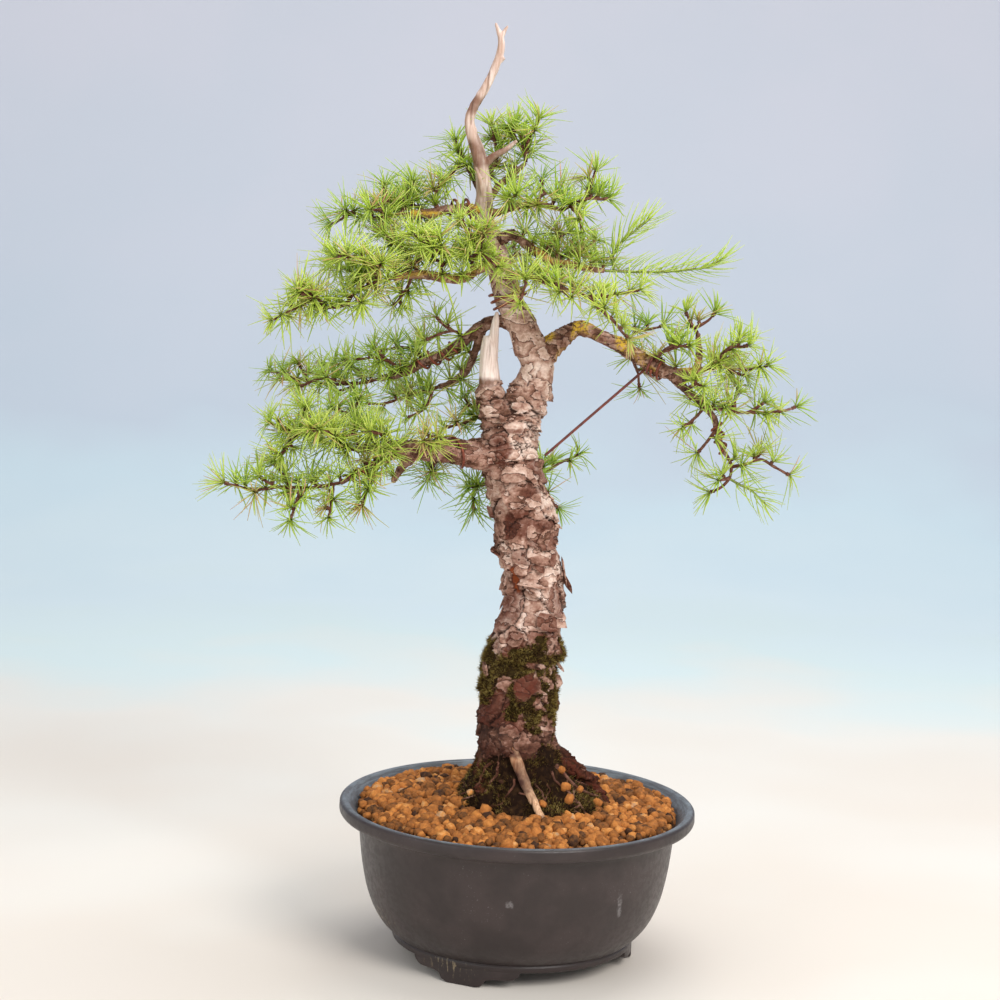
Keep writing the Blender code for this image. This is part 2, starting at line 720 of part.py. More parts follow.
def build_root_base():
    """The root base: a plain plug in the soil and a lumpy slope up to the trunk."""
    levels = (
        (ROOT_RADIUS, ROOT_BOTTOM, 0.0),
        (ROOT_RADIUS, ROOT_TOP - 2.0, 0.0),
        (46.0, ROOT_TOP + 4.5, 1.6),
        (39.0, ROOT_TOP + 11.0, 2.4),
        (31.0, ROOT_TOP + 20.0, 2.2),
        (24.0, ROOT_TOP + 32.0, 1.4),
        (17.0, ROOT_TOP + 38.0, 0.0),
    )
    bm = bmesh.new()
    ring = []
    for level, (radius, height, relief) in enumerate(levels):
        share = max(0, level - 1) / (len(levels) - 2)
        centre = (ROOT_CENTRE[0] * (1 - share), ROOT_CENTRE[1] * (1 - share))
        above = []
        for x, y in circle(radius, ROOT_SEGMENTS, centre):
            bump = noise.noise(Vector((x, y, height)) * 0.11) * relief * 3
            above.append(bm.verts.new(place(x, y, height + bump)))
        if ring:
            bridge(bm, above, ring)
        else:
            bm.faces.new(above)
        ring = above
    bm.faces.new(ring)
    return object_from_bmesh("root_base", bm)


def trunk_rings():
    """The rows at which the trunk's tube has its rings."""
    return thin_out(smooth_route(TRUNK, ROUTE_STEP), TRUNK_STEP)


def limb_rings(route):
    """The rows at which a limb's tube has its rings."""
    return thin_out(smooth_route(route, ROUTE_STEP), LIMB_STEP)


def build_trunk():
    """The trunk, leader and jin as one tube, with bark plates raised by a formula."""
    points = trunk_rings()
    obj = tube("trunk", points, TRUNK_RESOLUTION)
    axis = [place(*row[:3]) for row in points]
    heights = np.array([spot.z for spot in axis])
    for vertex in obj.data.vertices:
        nearest = axis[int(np.argmin(np.abs(heights - vertex.co.z)))]
        outward = Vector((vertex.co.x - nearest.x, vertex.co.y - nearest.y, 0.0))
        roughness = min(1.0, max(0.0, (outward.length / MM - SMOOTH_RADIUS) / SMOOTH_RADIUS))
        spot = vertex.co / MM
        plate = noise.noise(Vector((spot.x * 0.11, spot.y * 0.11, spot.z * 0.06)))
        ridge = noise.noise(Vector((spot.x * 0.3 + 9.0, spot.y * 0.3, spot.z * 0.09)))
        vertex.co += outward.normalized() * MM * BARK_RELIEF * roughness * (plate + ridge)
    return obj


def build_tree():
    """All the wood in one solid: trunk, roots, limbs and deadwood."""
    pieces = [build_trunk(), build_root_base()]
    for name, route in {**ROOTS, **LIMBS, **DEADWOOD}.items():
        thick = max(row[3] for row in route)
        resolution = 2 if thick > THICK_LIMB else 1 if thick > MIDDLING_LIMB else 0
        pieces.append(tube(name, limb_rings(route), resolution))
    return union("tree", pieces)


def wood_route(name):
    """Close-set points along a limb's own tube, whose straight runs lie between its rings."""
    rings = trunk_rings() if name == "trunk" else limb_rings(LIMBS[name])
    return thin_out(rings, ROUTE_STEP)


def coil_points(rows, turns, first_angle):
    """Points of a wire wound on a stretch of wood, close against its bark."""
    count = max(4, round(turns * WIRE_POINTS_PER_TURN))
    places = np.linspace(0, len(rows) - 1, count + 1)
    centre = np.stack([np.interp(places, np.arange(len(rows)), rows[:, i]) for i in range(4)], axis=1)
    along = np.gradient(centre[:, :3], axis=0)
    along /= np.linalg.norm(along, axis=1)[:, None]
    helper = np.array((0.0, 1.0, 0.0))
    side = np.cross(along, helper)
    side /= np.linalg.norm(side, axis=1)[:, None]
    other = np.cross(along, side)
    angle = (first_angle + math.tau * turns * np.linspace(0, 1, count + 1))[:, None]
    reach = (centre[:, 3] * COIL_WOOD_SHARE + COIL_STANDOFF)[:, None]
    return centre[:, :3] + reach * (np.cos(angle) * side + np.sin(angle) * other)


def wire_tube(name, points):
    """A round wire of one thickness along points of x, y and z."""
    rows = np.column_stack([points, np.full(len(points), WIRE_RADIUS)])
    return tube(name, rows, 0)


def build_coil(name, wood, stretch, turns, first_angle):
    """A coil on a limb, over a stretch of its length or, on the trunk, between two heights."""
    rows = wood_route(wood)
    if wood == "trunk":
        rows = rows[(rows[:, 2] >= stretch[0]) & (rows[:, 2] <= stretch[1])]
    else:
        rows = rows[int(stretch[0] * len(rows)) : int(stretch[1] * len(rows)) + 1]
    return wire_tube("wire_" + name, coil_points(rows, turns, first_angle))


def build_guy_wire():
    """The straight guy: from the snag on the trunk up to a loop round the main right limb."""
    rows = wood_route("right_main")
    hold = int(GUY_HOLD * len(rows))
    loop = coil_points(rows[hold - 1 : hold + 3], GUY_TURNS, GUY_ANGLE)
    run = np.linspace(np.array(GUY_ANCHOR), loop[0], GUY_RUNS + 1)[:-1]
    return wire_tube("guy_wire", np.vstack([run, loop]))


def tree_surface(objects):
    """One search tree over the faces of several objects."""
    corners = []
    faces = []
    for obj in objects:
        first = len(corners)
        corners += [vertex.co.copy() for vertex in obj.data.vertices]
        faces += [[first + index for index in polygon.vertices] for polygon in obj.data.polygons]
    return BVHTree.FromPolygons(corners, faces)


class Thicket:
    """Everything that a new needle has to stay clear of."""

    def __init__(self, surface):
        self.surface = surface
        self.starts = np.empty((0, 3))
        self.ends = np.empty((0, 3))
        self.start_radii = np.empty(0)
        self.end_radii = np.empty(0)
        self.owners = np.empty(0, int)
        self.wood = np.empty(0, bool)

    def add(self, start, end, start_radius, end_radius, owner, is_wood):
        """Notes one needle or one run of a twig, with the number of the spray that it belongs to."""
        self.starts = np.vstack([self.starts, start])
        self.ends = np.vstack([self.ends, end])
        self.start_radii = np.append(self.start_radii, start_radius)
        self.end_radii = np.append(self.end_radii, end_radius)
        self.owners = np.append(self.owners, owner)
        self.wood = np.append(self.wood, is_wood)

    def is_clear(self, start, end, start_radius, owner):
        """Whether a needle from start to a pointed end keeps off the wood and the other needles."""
        run = place(*end) - place(*start)
        if self.surface.ray_cast(place(*start), run.normalized(), run.length)[0] is not None:
            return False
        for share in np.linspace(FIRST_SAMPLE, 1.0, SAMPLES):
            spot = start + (end - start) * share
            apart = self.surface.find_nearest(place(*spot))[3] / MM
            if apart < start_radius * (1 - share) + NEEDLE_CLEARANCE:
                return False
        along = end - start
        others = self.ends - self.starts
        between = start - self.starts
        a = along @ along
        e = np.einsum("ij,ij->i", others, others)
        b = others @ along
        c = between @ along
        f = np.einsum("ij,ij->i", others, between)
        divisor = a * e - b * b
        nearest = np.divide(b * f - c * e, divisor, out=np.zeros_like(e), where=divisor > 1e-9)
        s = np.clip(nearest, 0, 1)
        t = np.clip((b * s + f) / np.maximum(e, 1e-9), 0, 1)
        s = np.clip((b * t - c) / a, 0, 1)
        apart = np.linalg.norm(between + s[:, None] * along - t[:, None] * others, axis=1)
        their_radii = self.start_radii * (1 - t) + self.end_radii * t
        radii = start_radius * (1 - s) + their_radii
        own = self.owners == owner
        clearance = np.where(own, OWN_CLEARANCE, NEEDLE_CLEARANCE)
        near_root = s * math.sqrt(a) < ROOT_ZONE
        their_root = self.wood | (t * np.sqrt(e) < ROOT_ZONE)
        return not np.any((apart < radii + clearance) & ~(own & near_root & their_root))


def start_of_twig(rows, surface):
    """Cuts a twig's route so that it starts a small gap outside the wood that carries it."""
    fine = smooth_route(rows, TWIG_STEP)
    for index, row in enumerate(fine[:-1]):
        along = Vector(fine[index + 1][:3] - row[:3]).normalized()
        side = along.orthogonal().normalized() * row[3] * MM
        quarters = [Matrix.Rotation(math.radians(angle), 3, along) for angle in (0, 90, 180, 270)]
        rim = [place(*row[:3]) + quarter @ side for quarter in quarters]
        spots = [surface.find_nearest(spot) for spot in rim]
        outside = all((spot - near[0]).dot(near[1]) > 0 for spot, near in zip(rim, spots))
        if outside and min(near[3] for near in spots) > GAP * 1.1 * MM:
            return fine[index:]
    return fine


def plan_spray(routes, surface):
    """The twigs of one spray as rows of x, y, z and radius, the first one cut at its wood."""
    planned = []
    for order, route in enumerate(routes):
        first = TWIG_ROOT if order == 0 else (TWIG_ROOT + TWIG_TIP) / 2
        radii = np.linspace(first, TWIG_TIP, len(route))
        rows = np.column_stack([np.array(route, float), radii])
        fine = start_of_twig(rows, surface) if order == 0 else smooth_route(rows, TWIG_STEP)
        planned.append(fine)
    return planned


def thin_out(rows, step):
    """Keeps about one row for each step of length, with both ends."""
    length = lengths_along(rows)
    count = max(2, round(length[-1] / step) + 1)
    wanted = np.linspace(0, length[-1], count)
    return np.stack([np.interp(wanted, length, rows[:, column]) for column in range(4)], axis=1)


def lengths_along(rows):
    """The length of the route up to each of its rows."""
    gaps = np.linalg.norm(np.diff(rows[:, :3], axis=0), axis=1)
    return np.concatenate([[0.0], np.cumsum(gaps)])


def row_at(rows, distance):
    """The point and radius at a distance along the route."""
    length = lengths_along(rows)
    return np.array([np.interp(distance, length, rows[:, column]) for column in range(4)])


def rosette_sites(rows, junctions):
    """Distances along a twig of its rosettes, back from its tip and clear of the side twigs."""
    length = lengths_along(rows)[-1]
    sites = [length - BUD_LENGTH]
    distance = sites[0] - ROSETTE_SPACING
    while distance > FIRST_ROSETTE:
        spot = row_at(rows, distance)[:3]
        if all(np.linalg.norm(spot - junction) > JUNCTION_CLEARANCE for junction in junctions):
            sites.append(distance)
            distance -= ROSETTE_SPACING
        else:
            distance -= 1.0
    return sites[::-1]


def shoot_rings(rows):
    """Ring places along a long shoot as distance and radius, and the bands that carry needles."""
    length = lengths_along(rows)[-1]
    count = max(3, round(length / SHOOT_BAND))
    rings = [(distance, SHOOT_RADIUS) for distance in np.linspace(0, length, count + 1)]
    return rings, set(range(2, count))


def twig_rings(rows, junctions):
    """Ring places along a twig as distance and radius, and the bands that carry needles.

    A twig with forks has a ring at each, where the side twig's first ring is inside it.
    """
    distances = lengths_along(rows)
    nearest = [int(np.argmin(np.linalg.norm(rows[:, :3] - spot, axis=1))) for spot in junctions]
    forks = [distances[index] for index in nearest if index > 0]
    sites = rosette_sites(rows, junctions)
    rings = [(0.0, row_at(rows, 0.0)[3])]
    bands = set()
    for site in sites:
        first = rings[-1][0]
        gap = site - BUD_LENGTH - first
        steps = max(1, round(gap / TWIG_SPACING))
        between = {first + gap * step / steps for step in range(1, steps)}
        inside = {fork for fork in forks if first + TWIG_TIP < fork < first + gap - TWIG_TIP}
        for distance in sorted(inside if inside else between):
            rings.append((distance, row_at(rows, distance)[3]))
        rings.append((site - BUD_LENGTH, BUD_RADIUS * 0.8))
        bands.update((len(rings) - 1, len(rings)))
        rings += [(site, BUD_RADIUS), (site + BUD_LENGTH, BUD_RADIUS * 0.8)]
    return rings, bands


def grow_twig(rows, rings, bands, thicket, owner, is_shoot, rng):
    """A slim twig whose faces are drawn out into needles where it carries them."""
    sides = SHOOT_SIDES if is_shoot else TWIG_SIDES
    bm = bmesh.new()
    loops = []
    axes = []
    side = None
    for distance, radius in rings:
        spot = row_at(rows, distance)
        ahead = row_at(rows, distance + 0.4)[:3] - row_at(rows, distance - 0.4)[:3]
        along = Vector(ahead).normalized()
        side = along.orthogonal() if side is None else side - along * side.dot(along)
        side.normalize()
        turned = [Matrix.Rotation(math.tau * k / sides, 3, along) @ side for k in range(sides)]
        loops.append([bm.verts.new(place(*(Vector(spot[:3]) + out * radius))) for out in turned])
        axes.append((Vector(spot[:3]), along))
    bm.faces.new(loops[0])
    candidates = []
    for index in range(len(loops) - 1):
        lower = loops[index]
        upper = loops[index + 1]
        for k in range(sides):
            after = (k + 1) % sides
            face = bm.faces.new((lower[k], lower[after], upper[after], upper[k]))
            if index in bands and (not is_shoot or (k + index) % 2 == 0):
                rosette_lean = BACK_LEAN if index + 1 in bands else FRONT_LEAN
                candidates.append((face, index, SHOOT_LEAN if is_shoot else rosette_lean))
    peak, along = axes[-1]
    tip = bm.verts.new(place(*(peak + along * rings[-1][1] * 0.6)))
    for k in range(sides):
        face = bm.faces.new((loops[-1][k], loops[-1][(k + 1) % sides], tip))
        candidates.append((face, len(loops) - 2, TIP_LEAN))
    bmesh.ops.recalc_face_normals(bm, faces=bm.faces)
    longest = SHOOT_NEEDLE if is_shoot else NEEDLE_LONGEST
    shortest = longest * NEEDLE_SHORTEST
    faces = []
    tips = []
    for face, index, lean in candidates:
        middle, along = axes[index]
        root = face.calc_center_median()
        out = face.normal.copy()
        for attempt in range(TRIES):
            spread = FIRST_SPREAD + MORE_SPREAD * attempt
            jitter = Vector((rng.gauss(0, 1), rng.gauss(0, 1), rng.gauss(0, 1))) * spread
            aim = (out + along * lean + Vector((0, 0, NEEDLE_RISE)) + jitter).normalized()
            if aim.dot(out) < LEAST_OUTWARD:
                continue
            reach = rng.uniform(shortest, longest)
            if attempt >= FULL_LENGTH_TRIES:
                reach *= CUT_SHORT
            start = np.array(root) / MM - np.array((POT_X, POT_Y, 0.0))
            end = start + np.array(aim) * reach
            if thicket.is_clear(start, end, NEEDLE_ROOT, owner):
                thicket.add(start, end, NEEDLE_ROOT, 0.0, owner, False)
                faces.append(face)
                tips.append(place(*end))
                break
    roots = [face.calc_center_median() for face in faces]
    poked = bmesh.ops.poke(bm, faces=faces)
    for vertex in poked["verts"]:
        nearest = min(range(len(roots)), key=lambda item: (roots[item] - vertex.co).length)
        vertex.co = tips[nearest]
    return object_from_bmesh("twig", bm)


def build_foliage(surface):
    """Every spray and shoot. All the twigs come first, so that each needle can avoid them."""
    rng = random.Random(SEED)
    thicket = Thicket(surface)
    plans = []
    for order, name in enumerate(dict.fromkeys([*SPRAYS, *SHOOTS])):
        routes = SPRAYS.get(name, ()) + SHOOTS.get(name, ())
        twigs = plan_spray(routes, surface)
        for rows in twigs:
            coarse = thin_out(rows, TWIG_SPACING)
            for a, b in zip(coarse[:-1], coarse[1:]):
                thicket.add(a[:3], b[:3], BUD_RADIUS, BUD_RADIUS, order, True)
        plans.append((name, order, twigs))
    made = []
    for name, order, twigs in plans:
        junctions = [rows[0][:3] for rows in twigs[1:]]
        pieces = []
        for number, rows in enumerate(twigs):
            is_shoot = number >= len(SPRAYS.get(name, ()))
            if is_shoot:
                rings, bands = shoot_rings(rows)
            else:
                rings, bands = twig_rings(rows, junctions if number == 0 else [rows[0][:3]])
            pieces.append(grow_twig(rows, rings, bands, thicket, order, is_shoot, rng))
        made.append(union("needles_" + name, pieces))
    return made


def build():
    """Builds every node and gives it its material."""
    clear_scene()
    plastic = make_material("charcoal_plastic", (0.045, 0.042, 0.045), 0.5)
    akadama = make_material("akadama", (0.42, 0.19, 0.07), 0.95)
    bark = make_material("larch_wood", (0.27, 0.18, 0.14), 0.9)
    copper = make_material("copper_wire", (0.22, 0.09, 0.06), 0.4, 0.8)
    leaf = make_material("larch_needles", (0.28, 0.46, 0.07), 0.6)
    finish(build_pot(), plastic)
    finish(build_soil(), akadama, 15.0)
    tree = build_tree()
    finish(tree, bark)
    wires = [
        build_coil(name, wood, stretch, turns, first_angle)
        for name, (wood, stretch, turns, first_angle) in COILS.items()
    ]
    wires.append(build_guy_wire())
    for wire in wires:
        finish(wire, copper)
    for spray in build_foliage(tree_surface([tree, *wires])):
        finish(spray, leaf)


build()
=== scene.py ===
"""Looks of the European larch bonsai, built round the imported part.

Shapes are worked out in millimetres from the pot's axis at table height: x to the right, y to the
back and z up, as seen from the tree's front. A finished piece has its place in its own mesh.
"""

import logging
import math
from dataclasses import dataclass, field
from enum import Enum
from functools import reduce

import bpy
import numpy as np
from mathutils import Matrix, Vector
from mathutils.bvhtree import BVHTree


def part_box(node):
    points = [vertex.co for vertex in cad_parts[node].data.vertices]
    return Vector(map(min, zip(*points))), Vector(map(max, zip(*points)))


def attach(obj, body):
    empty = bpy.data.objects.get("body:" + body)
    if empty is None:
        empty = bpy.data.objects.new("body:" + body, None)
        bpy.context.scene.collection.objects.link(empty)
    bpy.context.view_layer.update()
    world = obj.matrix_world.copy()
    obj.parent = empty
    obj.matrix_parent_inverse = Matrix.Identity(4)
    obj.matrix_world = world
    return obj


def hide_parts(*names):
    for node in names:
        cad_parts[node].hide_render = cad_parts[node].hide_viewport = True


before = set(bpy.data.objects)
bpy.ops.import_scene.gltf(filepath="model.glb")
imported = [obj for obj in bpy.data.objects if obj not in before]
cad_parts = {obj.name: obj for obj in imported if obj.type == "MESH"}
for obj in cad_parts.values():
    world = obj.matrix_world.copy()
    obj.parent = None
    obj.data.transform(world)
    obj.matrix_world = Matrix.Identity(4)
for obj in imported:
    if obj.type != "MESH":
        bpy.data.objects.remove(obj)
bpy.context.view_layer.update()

Array = np.ndarray
Material = bpy.types.Material
Socket = bpy.types.NodeSocket
Route = tuple[tuple[float, ...], ...]
Triple = tuple[float, float, float]
Colour = Triple
Stops = tuple[tuple[float, Colour], ...]

MM = 0.001
UP = np.array((0.0, 0.0, 1.0))
GOLDEN_ANGLE = 2.39996
NUMBER = "NodeSocketFloat"
VECTOR = "NodeSocketVector"
LOG = logging.getLogger("larch_bonsai")


class Light(Enum):
    """How dark the green of a spray is painted from its place in the light: painted shade, darker for shaded
    sprays.
    """

    SUNLIT = 0.14
    MIDDLE = 0.32
    SHADED = 0.5


# Living wood: route points as x, y, z and the radius there, repeated from the part's source.
TRUNK: Route = (
    (0, -2, 96, 31.0), (-1, -1, 118, 27.5), (-2, 0, 141, 24.9), (-3, 1, 157, 24.2), (-2, 2, 170, 24.8),
    (-1, 3, 189, 24.0), (2, 3, 207, 21.6), (5, 3, 223, 18.7), (4, 2, 244, 17.6), (3, 1, 259, 17.4),
    (-1, 0, 271, 18.5), (-3, -1, 286, 18.9), (-7, -2, 302, 17.6), (-12, -2, 317, 17.4),
    (-14, -2, 333, 16.6), (-12, -1, 346, 16.4), (-7, 0, 358, 14.0), (-1, 0, 370, 11.6), (2, 0, 384, 10.8),
    (-3, 0, 395, 10.5), (-7, 0, 404, 9.8), (-12, 0, 414, 9.2), (-17, 0, 423, 8.5), (-21, 0, 433, 8.2),
    (-24, 0, 443, 7.8), (-27, 0, 453, 7.1), (-32, 0, 465, 6.4), (-35, 0, 474, 4.6),
)
STUB_ROOT: Route = ((-16, -1, 336, 13.0), (-23, -2, 352, 10.4), (-26.5, -2, 363, 8.6), (-28, -2, 372, 6.6))
LIMBS: dict[str, Route] = {
    "left_top": ((-36, -1, 480, 4.6), (-56, -5, 480, 3.2), (-68, -8, 477, 3.4), (-82, -10, 476, 2.6)),
    "left_upper": (
        (-24, -3, 450, 5.0), (-37, -22, 445, 3.6), (-49, -30, 438, 3.2), (-71, -40, 440, 2.9),
        (-88, -46, 438, 2.2),
    ),
    "left_middle": (
        (-12, 3, 409, 5.5), (-23, 8, 411, 4.6), (-37, 14, 405, 3.8), (-52, 20, 391, 3.8),
        (-71, 25, 382, 3.5), (-84, 28, 374, 2.9), (-100, 30, 369, 2.1),
    ),
    "left_middle_low": (
        (-34, 13, 406, 3.0), (-38, 18, 392, 2.8), (-44, 23, 377, 2.6), (-54, 30, 368, 2.2),
        (-62, 33, 365, 1.8),
    ),
    "left_low": (
        (-14, -3, 326, 11.5), (-28, -8, 327, 10.6), (-39, -12, 328, 8.8), (-54, -20, 330, 7.5),
        (-69, -27, 330, 6.3), (-82, -32, 331, 5.0), (-96, -36, 332, 3.2), (-109, -38, 330, 2.4),
    ),
    "left_low_front": (
        (-78, -31, 330, 4.0), (-88, -36, 327, 3.0), (-98, -43, 322, 2.3), (-107, -49, 316, 2.0),
        (-117, -54, 311, 1.7),
    ),
    "left_low_snag": ((-70, -24, 328, 3.6), (-80, -15, 319, 2.9), (-87, -9, 307, 1.8)),
    "right_main": (
        (-2, 0, 384, 9.0), (12, 2, 398, 7.2), (22, 5, 406, 5.9), (29, 6, 408, 4.9), (40, 6, 404, 4.3),
        (51, 5, 400, 4.5), (62, 3, 394, 4.8), (73, 0, 388, 5.1), (81, -3, 384, 4.6), (91, -6, 383, 3.4),
        (101, -5, 385, 2.6), (108, -1, 386, 1.9),
    ),
    "right_main_peg": ((102, -5, 384, 2.8), (103, -6, 397, 2.4), (101, -8, 409, 1.8)),
    "right_pendant": (
        (85, -5, 383, 3.8), (97, -12, 372, 2.9), (106, -15, 365, 2.5), (113, -16, 357, 2.2),
        (116, -16, 349, 2.0), (119, -15, 339, 1.8), (123, -14, 333, 1.6),
    ),
    "right_low": ((104, -14, 366, 2.0), (112, -13, 363, 1.8), (120, -12, 362, 1.6)),
    "right_top": (
        (-35, -1, 480, 3.8), (-28, -3, 479, 2.6), (-20, -6, 482, 2.3), (-7, -10, 485, 2.2),
        (3, -12, 485, 1.9), (13, -14, 482, 1.4),
    ),
    "right_second": (
        (-28, 0, 460, 4.6), (-18, -6, 466, 3.5), (-12, -10, 463, 3.1), (-4, -14, 457, 2.9),
        (7, -16, 451, 2.8), (19, -16, 449, 2.6), (31, -15, 447, 2.2), (41, -14, 446, 1.7),
    ),
    "right_second_low": (
        (-21, -4, 436, 3.2), (-17, -14, 441, 2.6), (-8, -24, 442, 2.3), (5, -34, 438, 2.0),
        (19, -41, 434, 1.6),
    ),
    "back_upper": ((-21, 3, 434, 3.6), (-22, 20, 440, 2.9), (-25, 38, 445, 2.2)),
    "back_low": ((-8, 8, 300, 5.0), (-6, 26, 303, 3.8), (0, 44, 306, 2.6)),
    "apex_left": ((-37, 2, 487, 2.8), (-41, 8, 495, 2.0), (-46, 11, 503, 1.4)),
    "apex_middle": ((-37, 3, 490, 2.8), (-34, 12, 502, 2.0), (-29, 17, 513, 1.4)),
    "apex_right": ((-35, 2, 484, 3.0), (-27, 7, 496, 2.2), (-19, 9, 503, 1.8), (-11, 10, 511, 1.4)),
    "wire_snag": ((-4, -4, 318, 3.4), (4.5, -4.5, 321, 3.0), (6.5, -5, 325, 2.0)),
}
ROOTS: dict[str, Route] = {
    "root_right": (
        (12, -4, 142, 8.0), (26, -8, 133, 6.0), (43, -10, 121, 4.2), (54, -12, 108, 3.0),
        (57, -12, 97, 2.0),
    ),
    "root_left": ((-12, -16, 126, 6.0), (-21, -25, 114, 3.8), (-27, -31, 104, 2.6), (-28, -32, 96, 2.0)),
    "root_inner": ((-6, -22, 121, 3.2), (-12, -36, 111, 2.2), (-18, -45, 100, 1.7)),
    "root_back": ((4, 16, 130, 6.5), (14, 26, 116, 4.6), (20, 34, 98, 2.8)),
    "root_back_left": ((-14, 12, 128, 6.0), (-24, 16, 114, 4.0), (-30, 14, 98, 2.4)),
}
FRONT_ROOT: Route = (
    (-8, -20, 150, 4.0), (-5, -26, 143, 3.9), (1, -34, 130, 3.4), (6, -41, 120, 3.6), (11, -47, 112, 3.0),
    (17, -53, 101, 2.9),
)

# Bleached dead wood.
DEADWOOD: dict[str, Route] = {
    "jin": (
        (-31, 0, 460, 5.2), (-36, 0, 477, 6.2), (-36, 0, 490, 5.2), (-38, 0, 504, 4.6),
        (-41, 0, 516, 4.5), (-45, 0, 527, 3.9), (-47, 0, 535, 3.1), (-45, 0, 543, 3.0),
        (-39, 0, 554, 2.9), (-33, 0, 567, 2.7), (-30, 0, 576, 2.6), (-29, 0, 584, 2.2),
        (-31, 0, 591, 1.5), (-33, 0, 596, 0.8),
    ),
    "jin_fork": ((-29.5, 0, 585, 1.6), (-27.5, 0, 591, 1.2), (-25, 0, 594.5, 0.6)),
    "jin_side": ((-37, 0, 508, 3.0), (-31, -2, 514, 2.2), (-24, -3, 518, 1.8), (-17, -4, 524, 1.0)),
    "jin_spur": ((-36, -3, 488, 2.4), (-38, -6.5, 497, 1.7), (-42, -8, 507, 0.7)),
    "jin_knob": ((-30.5, 0, 572, 2.2), (-27, -1, 575, 1.3)),
    "stub": (
        (-23, -2, 350, 7.0), (-27, -2, 364, 7.4), (-29, -2, 382, 6.2), (-29.6, -2, 396, 4.9),
        (-29.8, -2, 402, 3.6),
    ),
    "stub_tip": (
        (-27.5, -1, 388, 4.0), (-26.8, -2, 402, 3.2), (-25.8, -3, 411, 2.4), (-25.2, -3, 417, 1.1),
    ),
}
